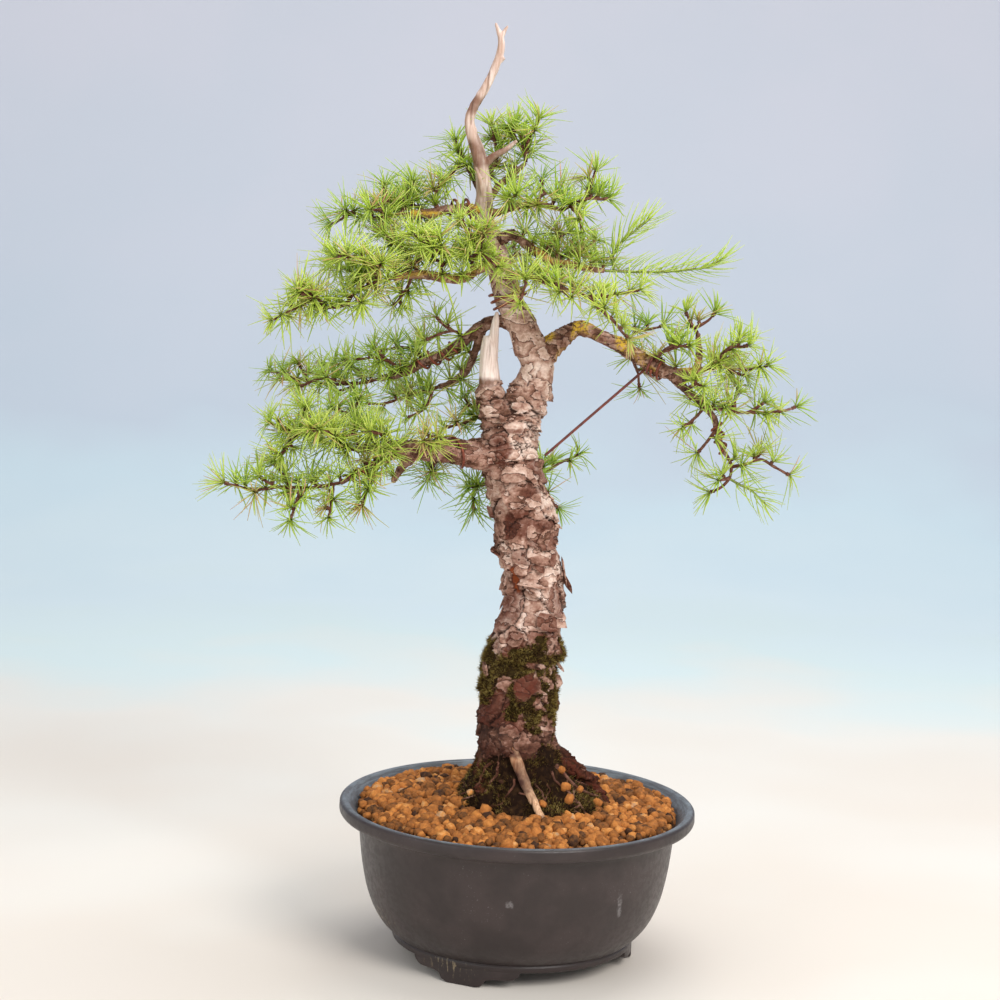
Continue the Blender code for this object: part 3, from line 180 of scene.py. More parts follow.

# Sprays: painted shade from their place in the light, then the twigs. The first twig is the spray's own and
# the others leave it.
SPRAYS: dict[str, tuple[Light, tuple[Route, ...]]] = {
    "apex_left": (
        Light.MIDDLE,
        (
            ((-46, 11, 503), (-51, 12, 512), (-55, 12, 521)),
            ((-49, 12, 508), (-55, 7, 505), (-60, 3, 499)),
        ),
    ),
    "apex_middle": (
        Light.MIDDLE,
        (
            ((-29, 17, 513), (-31, 19, 522), (-33, 19, 531)),
            ((-30, 18, 518), (-25, 22, 525), (-20, 24, 531)),
        ),
    ),
    "apex_right": (
        Light.MIDDLE,
        (
            ((-11, 10, 511), (-11, 10, 520), (-8, 9, 529), (-5, 8, 536)),
            ((-11, 10, 515), (-16, 14, 522), (-19, 16, 528)),
        ),
    ),
    "left_top_inner": (Light.MIDDLE, (((-64, -7, 480), (-67, -8, 487), (-64, -9, 495)),)),
    "left_top_back": (Light.SHADED, (((-72, -8, 478), (-79, 8, 481), (-87, 22, 483), (-96, 34, 481)),)),
    "left_top_outer": (
        Light.MIDDLE,
        (
            ((-82, -10, 476), (-93, -12, 475), (-105, -12, 473), (-117, -12, 475), (-128, -13, 469)),
            ((-87, -11, 475), (-85, -8, 485), (-82, -5, 494)),
            ((-94, -12, 475), (-96, -8, 484), (-98, -4, 491)),
            ((-98, -12, 474), (-100, -24, 478), (-104, -34, 478)),
        ),
    ),
    "left_upper_inner": (
        Light.SUNLIT,
        (
            ((-42, -27, 444), (-40, -37, 453), (-36, -43, 461), (-33, -46, 468)),
            ((-39, -39, 455), (-32, -43, 452), (-27, -46, 448)),
            ((-37, -42, 459), (-43, -48, 466), (-47, -50, 473)),
        ),
    ),
    "left_upper_front": (
        Light.SUNLIT,
        (
            ((-60, -36, 441), (-59, -46, 452), (-60, -54, 461)),
            ((-59, -47, 453), (-67, -54, 459), (-75, -58, 463)),
        ),
    ),
    "left_upper_back": (
        Light.MIDDLE, (((-74, -41, 441), (-80, -30, 450), (-88, -20, 457), (-97, -12, 461)),),
    ),
    "left_upper_under": (Light.MIDDLE, (((-78, -42, 438), (-82, -34, 429), (-88, -28, 421)),)),
    "left_upper_outer": (
        Light.SUNLIT,
        (
            ((-88, -46, 438), (-100, -50, 434), (-110, -52, 429), (-118, -53, 420), (-130, -54, 418)),
            ((-128, -54, 418), (-138, -54, 421), (-148, -55, 417), (-158, -56, 411)),
            ((-96, -49, 436), (-103, -58, 445), (-111, -64, 450), (-120, -66, 449)),
            ((-106, -52, 431), (-112, -42, 438), (-119, -34, 442), (-127, -29, 442)),
            ((-128, -54, 418), (-134, -62, 425), (-141, -68, 427)),
        ),
    ),
    "right_top_inner": (Light.MIDDLE, (((-20, -6, 484), (-20, -14, 488), (-17, -22, 490)),)),
    "right_top_back": (Light.SHADED, (((-2, -11, 486), (0, -2, 491), (5, 8, 492), (11, 17, 491)),)),
    "right_top_outer": (
        Light.MIDDLE,
        (
            ((13, -14, 482), (21, -15, 487), (29, -16, 490), (38, -16, 490)),
            ((26, -16, 489), (29, -11, 497), (32, -8, 505)),
            ((18, -15, 485), (23, -22, 479), (25, -27, 472)),
        ),
    ),
    "right_second_inner": (Light.MIDDLE, (((4, -16, 453), (5, -11, 461), (10, -5, 466), (17, 1, 468)),)),
    "right_second_middle": (Light.MIDDLE, (((22, -16, 449), (27, -8, 457), (33, -1, 462)),)),
    "right_second_back": (
        Light.SHADED,
        (
            ((12, -15, 452), (16, 2, 454), (22, 18, 456), (26, 31, 456)),
            ((20, 12, 455), (31, 15, 453), (42, 17, 452)),
        ),
    ),
    "right_second_low_inner": (
        Light.SUNLIT, (((-8, -25, 442), (-7, -36, 442), (-8, -45, 436), (-10, -50, 428)),),
    ),
    "right_second_low_front": (Light.SUNLIT, (((9, -37, 437), (14, -47, 435), (19, -56, 431)),)),
    "right_second_low_outer": (
        Light.SUNLIT,
        (
            ((19, -41, 434), (30, -45, 431), (40, -47, 431), (50, -49, 434), (60, -51, 436)),
            ((31, -45, 431), (38, -53, 424), (46, -57, 418), (54, -59, 409)),
        ),
    ),
    "right_main_back": (Light.SHADED, (((54, 5, 399), (60, 14, 404), (69, 20, 408), (79, 24, 410)),)),
    "right_main_under": (Light.SHADED, (((60, 4, 394), (65, 12, 383), (67, 15, 374)),)),
    "right_main_front": (
        Light.MIDDLE, (((76, -2, 388), (79, -12, 396), (85, -21, 401), (92, -27, 402)),),
    ),
    "right_main_peg": (
        Light.MIDDLE,
        (
            ((101, -8, 409), (97, -9, 415), (94, -10, 420)),
            ((99, -8.5, 412), (106, -8, 416), (110, -7, 420)),
        ),
    ),
    "right_main_outer": (
        Light.SUNLIT,
        (
            ((108, -1, 386), (117, 5, 387), (127, 9, 386), (135, 10, 386), (146, 6, 389)),
            ((112, 2, 386), (117, -5, 395), (122, -11, 401), (130, -14, 402)),
            ((113, 3, 386), (114, 16, 390), (117, 28, 392), (121, 40, 390)),
        ),
    ),
    "right_pendant_star": (Light.SUNLIT, (((96, -12, 374), (100, -23, 378), (104, -32, 378)),)),
    "right_pendant_left": (Light.MIDDLE, (((107, -16, 363), (102, -24, 358), (96, -29, 353)),)),
    "right_low_outer": (
        Light.MIDDLE,
        (
            ((120, -12, 362), (131, -8, 360), (145, -3, 360), (155, 0, 361), (164, 3, 363)),
            ((127, -10, 361), (127, -2, 368), (129, 5, 374)),
        ),
    ),
    "right_pendant_side": (Light.MIDDLE, (((115, -17, 349), (110, -22, 343), (105, -26, 337)),)),
    "right_pendant_end": (
        Light.MIDDLE,
        (
            ((123, -14, 333), (126, -14, 327), (125, -15, 319), (121, -17, 314), (116, -18, 311)),
            ((126, -14, 326), (136, -11, 328), (145, -9, 331), (153, -7, 327), (162, -5, 322)),
        ),
    ),
    "left_middle_inner": (Light.MIDDLE, (((-46, 17, 399), (-52, 9, 403), (-60, 3, 402), (-68, 0, 398)),)),
    "left_middle_back": (
        Light.SHADED, (((-72, 26, 383), (-80, 36, 388), (-89, 45, 389), (-99, 52, 386)),),
    ),
    "left_middle_front": (
        Light.MIDDLE, (((-86, 28, 375), (-93, 18, 381), (-102, 11, 384), (-112, 7, 383)),),
    ),
    "left_middle_outer": (
        Light.MIDDLE,
        (
            ((-100, 30, 369), (-117, 32, 365), (-137, 34, 364), (-152, 36, 366), (-169, 37, 370)),
            ((-108, 31, 367), (-116, 41, 373), (-126, 48, 376), (-136, 52, 375)),
            ((-122, 32, 365), (-130, 23, 368), (-139, 18, 368), (-148, 16, 364)),
            ((-150, 36, 366), (-158, 45, 366), (-165, 52, 364)),
        ),
    ),
    "left_middle_low": (
        Light.MIDDLE,
        (
            ((-62, 33, 365), (-72, 36, 361), (-84, 37, 357), (-96, 35, 353), (-106, 34, 352)),
            ((-66, 34, 363), (-67, 25, 356), (-71, 18, 351), (-78, 14, 347)),
            ((-76, 36, 360), (-80, 47, 360), (-87, 56, 358)),
        ),
    ),
    "left_trunk": (
        Light.SHADED,
        (
            ((-25, 8, 341.5), (-35, 14, 350), (-42, 18, 358)),
            ((-34, 13, 349), (-43, 11, 345), (-53, 8, 342)),
        ),
    ),
    "left_trunk_low": (Light.SHADED, (((-20, 8, 306), (-30, 15, 305), (-37, 20, 299), (-36, 23, 290)),)),
    "left_low_star": (Light.SUNLIT, (((-58, -24, 337), (-61, -34, 340), (-66, -42, 338)),)),
    "left_low_under": (Light.SHADED, (((-60, -22, 324), (-62, -14, 317), (-64, -8, 311)),)),
    "left_low_upper": (Light.SUNLIT, (((-90, -35, 335), (-93, -45, 341), (-98, -53, 343)),)),
    "left_low_back": (
        Light.MIDDLE, (((-98, -36, 335), (-104, -27, 343), (-113, -20, 350), (-123, -17, 352)),),
    ),
    "left_low_outer": (
        Light.SUNLIT,
        (
            ((-109, -38, 330), (-122, -40, 332), (-135, -42, 337), (-150, -44, 342), (-160, -45, 345)),
            ((-114, -39, 331), (-119, -50, 339), (-125, -58, 343), (-132, -64, 344)),
            ((-130, -41, 335), (-136, -33, 344), (-142, -27, 352)),
            ((-142, -43, 340), (-148, -51, 335), (-152, -57, 329)),
        ),
    ),
    "left_low_front_inner": (Light.MIDDLE, (((-97, -43, 320), (-99, -49, 310), (-102, -54, 300)),)),
    "left_low_front_outer": (
        Light.MIDDLE,
        (
            ((-117, -54, 311), (-134, -58, 308), (-152, -62, 308), (-168, -64, 306), (-184, -66, 309)),
            ((-121, -55, 310), (-121, -61, 301), (-122, -66, 293)),
            ((-140, -59, 308), (-142, -67, 301), (-144, -73, 293)),
            ((-146, -61, 308), (-152, -55, 314), (-157, -49, 320)),
        ),
    ),
    "back_upper": (
        Light.SHADED,
        (
            ((-25, 38, 445), (-27, 52, 447), (-29, 66, 448), (-31, 80, 446)),
            ((-26, 44, 446), (-38, 53, 450), (-50, 60, 452), (-62, 65, 451)),
            ((-27, 52, 447), (-15, 60, 451), (-3, 66, 452)),
        ),
    ),
    "back_low": (
        Light.SHADED,
        (
            ((0, 44, 306), (8, 56, 309), (18, 65, 314), (29, 71, 319)),
            ((3, 49, 307), (10, 52, 298), (17, 54, 288)), ((5, 52, 308), (-6, 62, 305), (-18, 69, 300)),
        ),
    ),
    "right_second_shoot": (Light.MIDDLE, ()),
}

# Long shoots with single needles, by the spray that they belong to.
SHOOTS: dict[str, tuple[Route, ...]] = {
    "right_second_shoot": (
        (
            (41, -14, 446), (54, -12, 446), (68, -10, 446), (84, -6, 447), (99, -3, 449), (108, -2, 451),
            (115, 0, 456),
        ),
        ((47, -13, 446), (46, -12, 456), (52, -10, 465), (61, -8, 473), (68, -7, 479)),
    ),
    "right_pendant_end": (((125, -15, 319), (132, -13, 315), (140, -10, 311), (149, -8, 303)),),
}

# Coiled wire by node: the wood, the stretch of its route as shares or heights, turns, first angle.
COILS: dict[str, tuple[str, tuple[float, float], float, float]] = {
    "wire_leader": ("trunk", (423.0, 432.0), 2.1, 0.0),
    "wire_left_top": ("left_top", (0.20, 0.48), 2.0, 0.6),
    "wire_left_middle": ("left_middle", (0.46, 0.74), 3.6, 1.0),
    "wire_left_low": ("left_low", (0.28, 0.47), 0.9, 5.6),
    "wire_left_low_front": ("left_low_front", (0.34, 0.90), 3.5, 0.4),
    "wire_right_main": ("right_main", (0.725, 0.775), 1.5, 2.0),
    "wire_right_pendant": ("right_pendant", (0.66, 0.93), 2.5, 0.3),
}


def pot_axis() -> Array:
    """The pot's axis at table height in the part's frame, in millimetres."""
    low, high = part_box("pot")
    return np.array(((low.x + high.x) / 2, (low.y + high.y) / 2, low.z)) / MM


ORIGIN = pot_axis()


def tint(red: int, green: int, blue: int) -> Colour:
    """A colour as the eye reads it, from 0 to 255, turned into a shader's linear values.

    Args:
        red: Share of red.
        green: Share of green.
        blue: Share of blue.

    Returns:
        The linear colour.
    """
    shares = np.array((red, green, blue)) / 255.0
    linear = np.where(shares <= 0.04045, shares / 12.92, ((shares + 0.055) / 1.055) ** 2.4)
    return (float(linear[0]), float(linear[1]), float(linear[2]))


def unit(vectors: Array) -> Array:
    """Vectors cut or stretched to a length of one."""
    return vectors / np.maximum(np.linalg.norm(vectors, axis=-1, keepdims=True), 1e-9)


def ease(low: float, high: float, values: Array) -> Array:
    """A smooth step: 0 below low, 1 above high, and 3t^2 - 2t^3 between them."""
    share = np.clip((values - low) / (high - low), 0.0, 1.0)
    return share * share * (3.0 - 2.0 * share)


def fade(low: float, high: float, values: Array) -> Array:
    """A smooth step down: 1 below low and 0 above high."""
    return 1.0 - ease(low, high, values)


def belt(values: Array, start: tuple[float, float], end: tuple[float, float]) -> Array:
    """1 between a smooth step up and a smooth step down."""
    return ease(*start, values) * fade(*end, values)


def cell_values(cells: Array, seed: int) -> Array:
    """A steady random number from 0 to 1 for each whole-numbered cell of space.

    Args:
        cells: Whole numbers in rows of three.
        seed: Which set of random numbers.

    Returns:
        One number for each cell, from mixing the bits of its three numbers.
    """
    whole = cells.astype(np.int64)
    mixed = (whole[..., 0] * 73856093) ^ (whole[..., 1] * 19349663) ^ (whole[..., 2] * 83492791)
    mixed = (mixed ^ (seed * 2654435761)) & 0xFFFFFFFF
    mixed = ((mixed ^ (mixed >> 15)) * 739982445) & 0xFFFFFFFF
    mixed = ((mixed ^ (mixed >> 12)) * 695872825) & 0xFFFFFFFF
    mixed = mixed ^ (mixed >> 15)
    return (mixed & 0xFFFFFF) / float(0xFFFFFF)


def noise(points: Array, scale: float, seed: int) -> Array:
    """Smooth random values from -1 to 1.

    Each value is a blend of the random numbers at the eight corners of its cell, with eased shares.

    Args:
        points: Places in millimetres, in rows of three.
        scale: Cells in a millimetre.
        seed: Which set of random numbers.

    Returns:
        One value for each place.
    """
    spots = points * scale
    base = np.floor(spots)
    share = spots - base
    share = share * share * (3.0 - 2.0 * share)
    total = np.zeros(points.shape[:-1])
    for corner in np.ndindex(2, 2, 2):
        chosen = np.array(corner)
        weight = np.prod(np.where(chosen == 1, share, 1.0 - share), axis=-1)
        total += weight * cell_values(base + chosen, seed)
    return 2.0 * total - 1.0


def fractal(points: Array, scale: float, layers: int, seed: int) -> Array:
    """Noise on noise: each layer is twice as fine and half as strong as the one before.

    Args:
        points: Places in millimetres.
        scale: Cells of the first layer in a millimetre.
        layers: How many layers.
        seed: Which set of random numbers.

    Returns:
        A value from -1 to 1 for each place.
    """
    total = np.zeros(points.shape[:-1])
    for layer in range(layers):
        total += noise(points, scale * 2.0**layer, seed + layer) * 0.5**layer
    return total / (2.0 - 0.5 ** (layers - 1))


def drift(points: Array, scale: float, seed: int) -> Array:
    """Three noises at once, as a vector to shift each place by."""
    return np.stack([noise(points, scale, seed + axis) for axis in range(3)], axis=-1)


@dataclass
class CellField:
    """What each place knows of its own irregular cell and of the nearest other one."""

    near: Array
    second: Array
    key: Array
    other_key: Array
    offset: Array
    other_offset: Array

    def to_edge(self, size: float) -> Array:
        """About how far the border with the next cell is, for cells of a size in millimetres."""
        return (self.second - self.near) * 0.5 * size


def irregular_cells(points: Array, size: Triple, seed: int) -> CellField:
    """Sorts places into irregular cells: Voronoi cells on a shaken grid.

    Every grid cell holds one seed point, shaken. A place belongs to its nearest seed point, and the
    distance to the second nearest shows how far the border is.

    Args:
        points: Places in millimetres.
        size: A cell's size along x, y and z.
        seed: Which set of random numbers.

    Returns:
        Distances in cells, and for both cells a random key and the vector from the seed point.
    """
    spots = points / np.array(size)
    base = np.floor(spots)
    near = np.full(len(points), 9.0)
    second = np.full(len(points), 9.0)
    key, other_key = np.zeros((2, len(points)))
    offset, other_offset = np.zeros((2, *points.shape))
    for step in np.ndindex(3, 3, 3):
        cell = base + np.array(step) - 1.0
        shaken = np.stack([cell_values(cell, seed + axis) for axis in range(3)], axis=-1)
        apart = spots - (cell + 0.1 + 0.8 * shaken)
        distance = np.linalg.norm(apart, axis=-1)
        found = cell_values(cell, seed + 7)
        closer = distance < near
        nearly = ~closer & (distance < second)
        second = np.where(closer, near, np.where(nearly, distance, second))
        other_key = np.where(closer, key, np.where(nearly, found, other_key))
        other_offset = np.where(closer[:, None], offset, np.where(nearly[:, None], apart, other_offset))
        near = np.where(closer, distance, near)
        key = np.where(closer, found, key)
        offset = np.where(closer[:, None], apart, offset)
    return CellField(near, second, key, other_key, offset, other_offset)


def shingles(cells: CellField, size: float, level: float, tilt: float) -> tuple[Array, Array]:
    """Overlapping plates, each with an edge that stands off.

    A plate's height is level times its own random number, plus tilt times the way down from its
    middle and some of the way sideways. A place near a border lies in a gap where the plate
    beyond stands higher.

    Args:
        cells: Which plate each place is on.
        size: A plate's size in millimetres.
        level: How much whole plates differ in height.
        tilt: How far a plate rises over its own length.

    Returns:
        The height of each place, and how deep it lies in a gap, from 0 to 1.
    """

    def height(key: Array, offset: Array) -> Array:
        """The height on a plate."""
        way = key * 43.0
        aside = np.cos(way) * offset[:, 0] + np.sin(way) * offset[:, 1]
        return level * ((key * 7.3) % 1.0 - 0.5) + tilt * (0.45 * aside - offset[:, 2])

    own = height(cells.key, cells.offset)
    above = height(cells.other_key, cells.other_offset) - own
    edge = cells.to_edge(size)
    gap = ease(0.05, 0.4 * level + 0.1, above) * fade(0.3, 1.0, edge)
    lip = ease(0.0, 0.5 * level, -above) * fade(0.0, 0.12 * size, edge)
    return own + level * (0.35 * lip - 0.4 * gap), gap


def linked(name: str, data: bpy.types.ID) -> bpy.types.Object:
    """A new object in the scene.

    Args:
        name: Its name.
        data: Its mesh, lamp or camera.

    Returns:
        The object.
    """
    made = bpy.data.objects.new(name, data)
    bpy.context.scene.collection.objects.link(made)
    return made


@dataclass
class Shape:
    """Points in millimetres from the pot's axis, faces by point number, and values at the points."""

    points: Array
    faces: list[Array]
    values: dict[str, Array] = field(default_factory=dict)

    def triangles(self) -> Array:
        """All faces as triangles, each four-sided one cut along its first diagonal.

        Returns:
            Point numbers in rows of three.
        """
        cut = []
        for face in self.faces:
            cut.append(face[:, :3])
            if face.shape[1] == 4:
                cut.append(face[:, [0, 2, 3]])
        return np.vstack(cut)

    def corners(self) -> tuple[Array, Array, Array]:
        """The places of the three corners of every triangle."""
        a, b, c = (self.points[corner] for corner in self.triangles().T)
        return a, b, c

    def mark(self, label: str, *numbers: object) -> None:
        """Writes a value of three numbers at each point: each is given once for all or for each."""
        count = len(self.points)
        self.values[label] = np.column_stack([np.broadcast_to(number, count) for number in numbers])

    def normals(self) -> Array:
        """A direction for each point: the sum of its triangles' normals, weighted by area.

        Returns:
            Unit vectors, in rows of three.
        """
        a, b, c = self.corners()
        turned = np.cross(b - a, c - a)
        places = self.triangles().ravel()
        count = len(self.points)
        total = [np.bincount(places, np.repeat(turned[:, axis], 3), minlength=count) for axis in range(3)]
        return unit(np.stack(total, axis=1))

    def to_object(self, name: str, material: Material, smooth: bool = True) -> bpy.types.Object:
        """Puts the shape into the scene, placed in the part's frame.

        Args:
            name: The piece's name.
            material: Its finish.
            smooth: Whether light runs smoothly over its faces.

        Returns:
            The new object, at the origin with its place in its mesh.
        """
        mesh = bpy.data.meshes.new(name)
        mesh.vertices.add(len(self.points))
        mesh.vertices.foreach_set("co", ((self.points + ORIGIN) * MM).astype(np.float32).ravel())
        sides = np.concatenate([np.full(len(face), face.shape[1]) for face in self.faces])
        corners = np.concatenate([face.ravel() for face in self.faces]).astype(np.int32)
        starts = np.concatenate([[0], np.cumsum(sides)[:-1]]).astype(np.int32)
        mesh.loops.add(len(corners))
        mesh.loops.foreach_set("vertex_index", corners)
        mesh.polygons.add(len(sides))
        mesh.polygons.foreach_set("loop_start", starts)
        mesh.polygons.foreach_set("use_smooth", np.full(len(sides), smooth))
        mesh.update(calc_edges=True)
        for label, numbers in self.values.items():
            attribute = mesh.attributes.new(label, "FLOAT_VECTOR", "POINT")
            attribute.data.foreach_set("vector", numbers.astype(np.float32).ravel())
        mesh.materials.append(material)
        return linked(name, mesh)


def join_shapes(shapes: list[Shape]) -> Shape:
    """Puts shapes side by side in one, keeping the values that all of them have.

    Args:
        shapes: The shapes.

    Returns:
        One shape of them all.
    """
    offsets = np.cumsum([0] + [len(shape.points) for shape in shapes[:-1]])
    faces = [face + offset for shape, offset in zip(shapes, offsets) for face in shape.faces]
    labels = set.intersection(*(set(shape.values) for shape in shapes))
    values = {label: np.concatenate([shape.values[label] for shape in shapes]) for label in sorted(labels)}
    return Shape(np.vstack([shape.points for shape in shapes]), faces, values)


def smooth_route(route: Route | Array, step: float) -> Array:
    """Rows every step along a smooth curve through a route's own rows.

    The curve is a Catmull-Rom spline: a cubic between each two rows, whose slope at a row is half
    the way from the row before to the row after.

    Args:
        route: Rows of x, y, z and any further values.
        step: The distance between new rows in millimetres.

    Returns:
        The new rows.
    """
    rows = np.array(route, float)
    rows = np.vstack([2 * rows[0] - rows[1], rows, 2 * rows[-1] - rows[-2]])
    found = []
    for index in range(1, len(rows) - 2):
        a, b, c, d = rows[index - 1 : index + 3]
        count = max(1, round(float(np.linalg.norm((c - b)[:3])) / step))
        t = (np.arange(count) / count)[:, None]
        bend = (2 * a - 5 * b + 4 * c - d) * t**2
        turn = (3 * b - a - 3 * c + d) * t**3
        found.append((2 * b + (c - a) * t + bend + turn) / 2)
    found.append(rows[-2:-1])
    return np.vstack(found)


def lengths_along(rows: Array) -> Array:
    """The length of a route up to each of its rows."""
    gaps = np.linalg.norm(np.diff(rows[:, :3], axis=0), axis=1)
    return np.concatenate([[0.0], np.cumsum(gaps)])


def rows_at(rows: Array, distances: Array) -> Array:
    """A route's rows at given distances along it, straight between its own rows."""
    length = lengths_along(rows)
    return np.stack([np.interp(distances, length, column) for column in rows.T], axis=1)


def even_rows(rows: Array, step: float) -> Array:
    """A route's rows about every step of its length, with both ends."""
    total = lengths_along(rows)[-1]
    return rows_at(rows, np.linspace(0.0, total, max(2, round(total / step) + 1)))


def traced(route: Route | Array, step: float, apart: float | None = None) -> Array:
    """Even rows along the smooth curve through a route, as far apart as its steps or as told."""
    return even_rows(smooth_route(route, step), apart or step)


def ring_angles(sides: int) -> Array:
    """The angles of the points of a ring."""
    return np.linspace(0.0, math.tau, sides, endpoint=False)


def frames_along(rows: Array) -> tuple[Array, Array, Array]:
    """Directions along a route and across it.

    Args:
        rows: The route's rows.

    Returns:
        The direction along the route, and two directions square to it and to each other.
    """
    along = unit(np.gradient(rows[:, :3], axis=0))
    helper = np.eye(3)[int(np.argmin(np.abs(along).max(axis=0)))]
    side = unit(np.cross(along, helper))
    return along, side, np.cross(along, side)


def ring_faces(rings: int, sides: int) -> Array:
    """Four-sided faces between each ring of points and the next, facing outwards.

    Args:
        rings: How many rings.
        sides: Points in each ring.

    Returns:
        Point numbers in rows of four.
    """
    first = (np.arange(rings - 1)[:, None] * sides + np.arange(sides)[None, :]).ravel()
    after = (np.arange(rings - 1)[:, None] * sides + (np.arange(sides) + 1)[None, :] % sides).ravel()
    return np.stack([first, after, after + sides, first + sides], axis=1)


def capped(rings: Array, ends: Array) -> Shape:
    """Rings of points joined into a closed skin, each end closed by a fan to its middle.

    Args:
        rings: Places by ring and by point.
        ends: The middle of the first ring and of the last one.

    Returns:
        The skin.
    """
    count, sides = rings.shape[:2]
    turn = np.arange(sides)
    after = (turn + 1) % sides
    last = (count - 1) * sides
    start = np.stack([np.full(sides, count * sides), after, turn], axis=1)
    end = np.stack([np.full(sides, count * sides + 1), last + turn, last + after], axis=1)
    return Shape(np.vstack([rings.reshape(-1, 3), ends]), [ring_faces(count, sides), np.vstack([start, end])])


def tube_shape(rows: Array, sides: int) -> Shape:
    """A closed round tube: a point at angle a is centre + radius * (cos a * side + sin a * other).

    Args:
        rows: The tube's middle line as x, y, z and radius.
        sides: Points in each ring.

    Returns:
        The tube.
    """
    _, side, other = frames_along(rows)
    angle = ring_angles(sides)[None, :, None]
    across = np.cos(angle) * side[:, None, :] + np.sin(angle) * other[:, None, :]
    return capped(rows[:, None, :3] + rows[:, None, 3:4] * across, rows[[0, -1], :3])


def read(items: bpy.types.bpy_prop_collection, name: str, width: int, kind: type) -> Array:
    """A field of all of a mesh's points, edges or corners, in rows.

    Args:
        items: The points, edges or corners.
        name: The field.
        width: How many numbers it has.
        kind: Their type.

    Returns:
        A row for each item.
    """
    found = np.empty(len(items) * width, kind)
    items.foreach_get(name, found)
    return found.reshape(-1, width)


def fused(shapes: list[Shape], voxel: float, rounds: int) -> Shape:
    """One even skin round overlapping closed shapes, with filleted joins.

    The shapes are remeshed by small cubes. Then each point moves half the way to the mean of its
    neighbours, a number of times, which rounds the joins.

    Args:
        shapes: The closed shapes.
        voxel: The size of a cube in millimetres.
        rounds: How often the points are evened out.

    Returns:
        The skin.
    """
    blank = bpy.data.materials.new("blank")
    rough = join_shapes(shapes).to_object("rough", blank)
    remesh = rough.modifiers.new("skin", "REMESH")
    remesh.mode = "VOXEL"
    remesh.voxel_size = voxel * MM
    mesh = bpy.data.meshes.new_from_object(rough.evaluated_get(bpy.context.evaluated_depsgraph_get()))
    points = read(mesh.vertices, "co", 3, np.float32).astype(float) / MM - ORIGIN
    corners = read(mesh.loops, "vertex_index", 1, np.int32).reshape(-1, 4)
    ends = read(mesh.edges, "vertices", 2, np.int32)
    bpy.data.objects.remove(rough, do_unlink=True)
    bpy.data.meshes.remove(mesh)
    bpy.data.materials.remove(blank)
    both = np.vstack([ends, ends[:, ::-1]])
    count = np.bincount(both[:, 0], minlength=len(points))[:, None]
    for _ in range(rounds):
        total = np.stack([np.bincount(both[:, 0], points[both[:, 1], axis]) for axis in range(3)], axis=1)
        points = points + 0.5 * (total / count - points)
    return Shape(points, [corners])


def scatter_on(shape: Shape, count: int, chance: Array, rng: np.random.Generator) -> tuple[Array, Array]:
    """Random places on a surface.

    Args:
        shape: The surface.
        count: How many places.
        chance: How likely each of its points draws places near it.
        rng: The source of random numbers.

    Returns:
        The places and the surface's normals there.
    """
    corners = shape.triangles()
    a, b, c = shape.corners()
    weight = np.linalg.norm(np.cross(b - a, c - a), axis=1) * chance[corners].mean(axis=1)
    chosen = corners[rng.choice(len(corners), count, p=weight / weight.sum())]
    first, second = rng.random((2, count, 1))
    flip = first + second > 1.0
    first = np.where(flip, 1.0 - first, first)
    second = np.where(flip, 1.0 - second, second)
    shares = np.concatenate([1.0 - first - second, first, second], axis=1)
    tables = (shape.points, shape.normals())
    spots, directions = (np.einsum("ij,ijk->ik", shares, table[chosen]) for table in tables)
    return spots, unit(directions)


def blades(
    starts: Array, aims: Array, bends: Array, lengths: Array, widths: Array, fresh: Array, dry: Array
) -> Shape:
    """Many needles at once.

    A needle's middle line is start + length * (t * aim + t^2 * bend), with t from 0 to 1. It has
    three sides, is flatter than wide, thickest at half its length, and has a blunt end.

    Args:
        starts: Where each needle starts.
        aims: Its direction there.
        bends: How far its tip is drawn aside, in lengths.
        lengths: Its length in millimetres.
        widths: Its width in millimetres.
        fresh: How dark its green is, from 0 to 1: painted shade from its spray's place in the light, with
            random spread.
        dry: How dry it is, from 0 to 1.

    Returns:
        The needles, with t, the green's painted shade and dryness as a value named leaf.
    """
    number = len(starts)
    t = np.array((0.0, 0.35, 0.7, 1.0))
    taper = np.array((0.7, 1.0, 0.95, 0.4))
    spine = t[None, :, None] * aims[:, None, :] + (t**2)[None, :, None] * bends[:, None, :]
    centres = starts[:, None, :] + spine * lengths[:, None, None]
    helper = np.where(np.abs(aims[:, 2:3]) > 0.9, np.array((1.0, 0.0, 0.0)), UP)
    side = unit(np.cross(aims, helper))
    over = np.cross(side, aims)
    half = widths[:, None, None, None] * 0.5 * taper[None, :, None, None]
    corner = np.array(((1.0, 0.25), (-1.0, 0.25), (0.0, -0.7)))
    across = corner[:, 0, None] * side[:, None, None, :] + corner[:, 1, None] * over[:, None, None, :]
    points = (centres[:, :, None, :] + half * across).reshape(-1, 3)
    offset = np.arange(number)[:, None, None] * 12
    quads = ring_faces(4, 3)[:, ::-1][None] + offset
    ends = np.array(((0, 1, 2), (11, 10, 9)))[None] + offset
    made = Shape(points, [quads.reshape(-1, 4), ends.reshape(-1, 3)])
    made.mark("leaf", np.tile(np.repeat(t, 3), number), np.repeat(fresh, 12), np.repeat(dry, 12))
    return made


# Shaders.


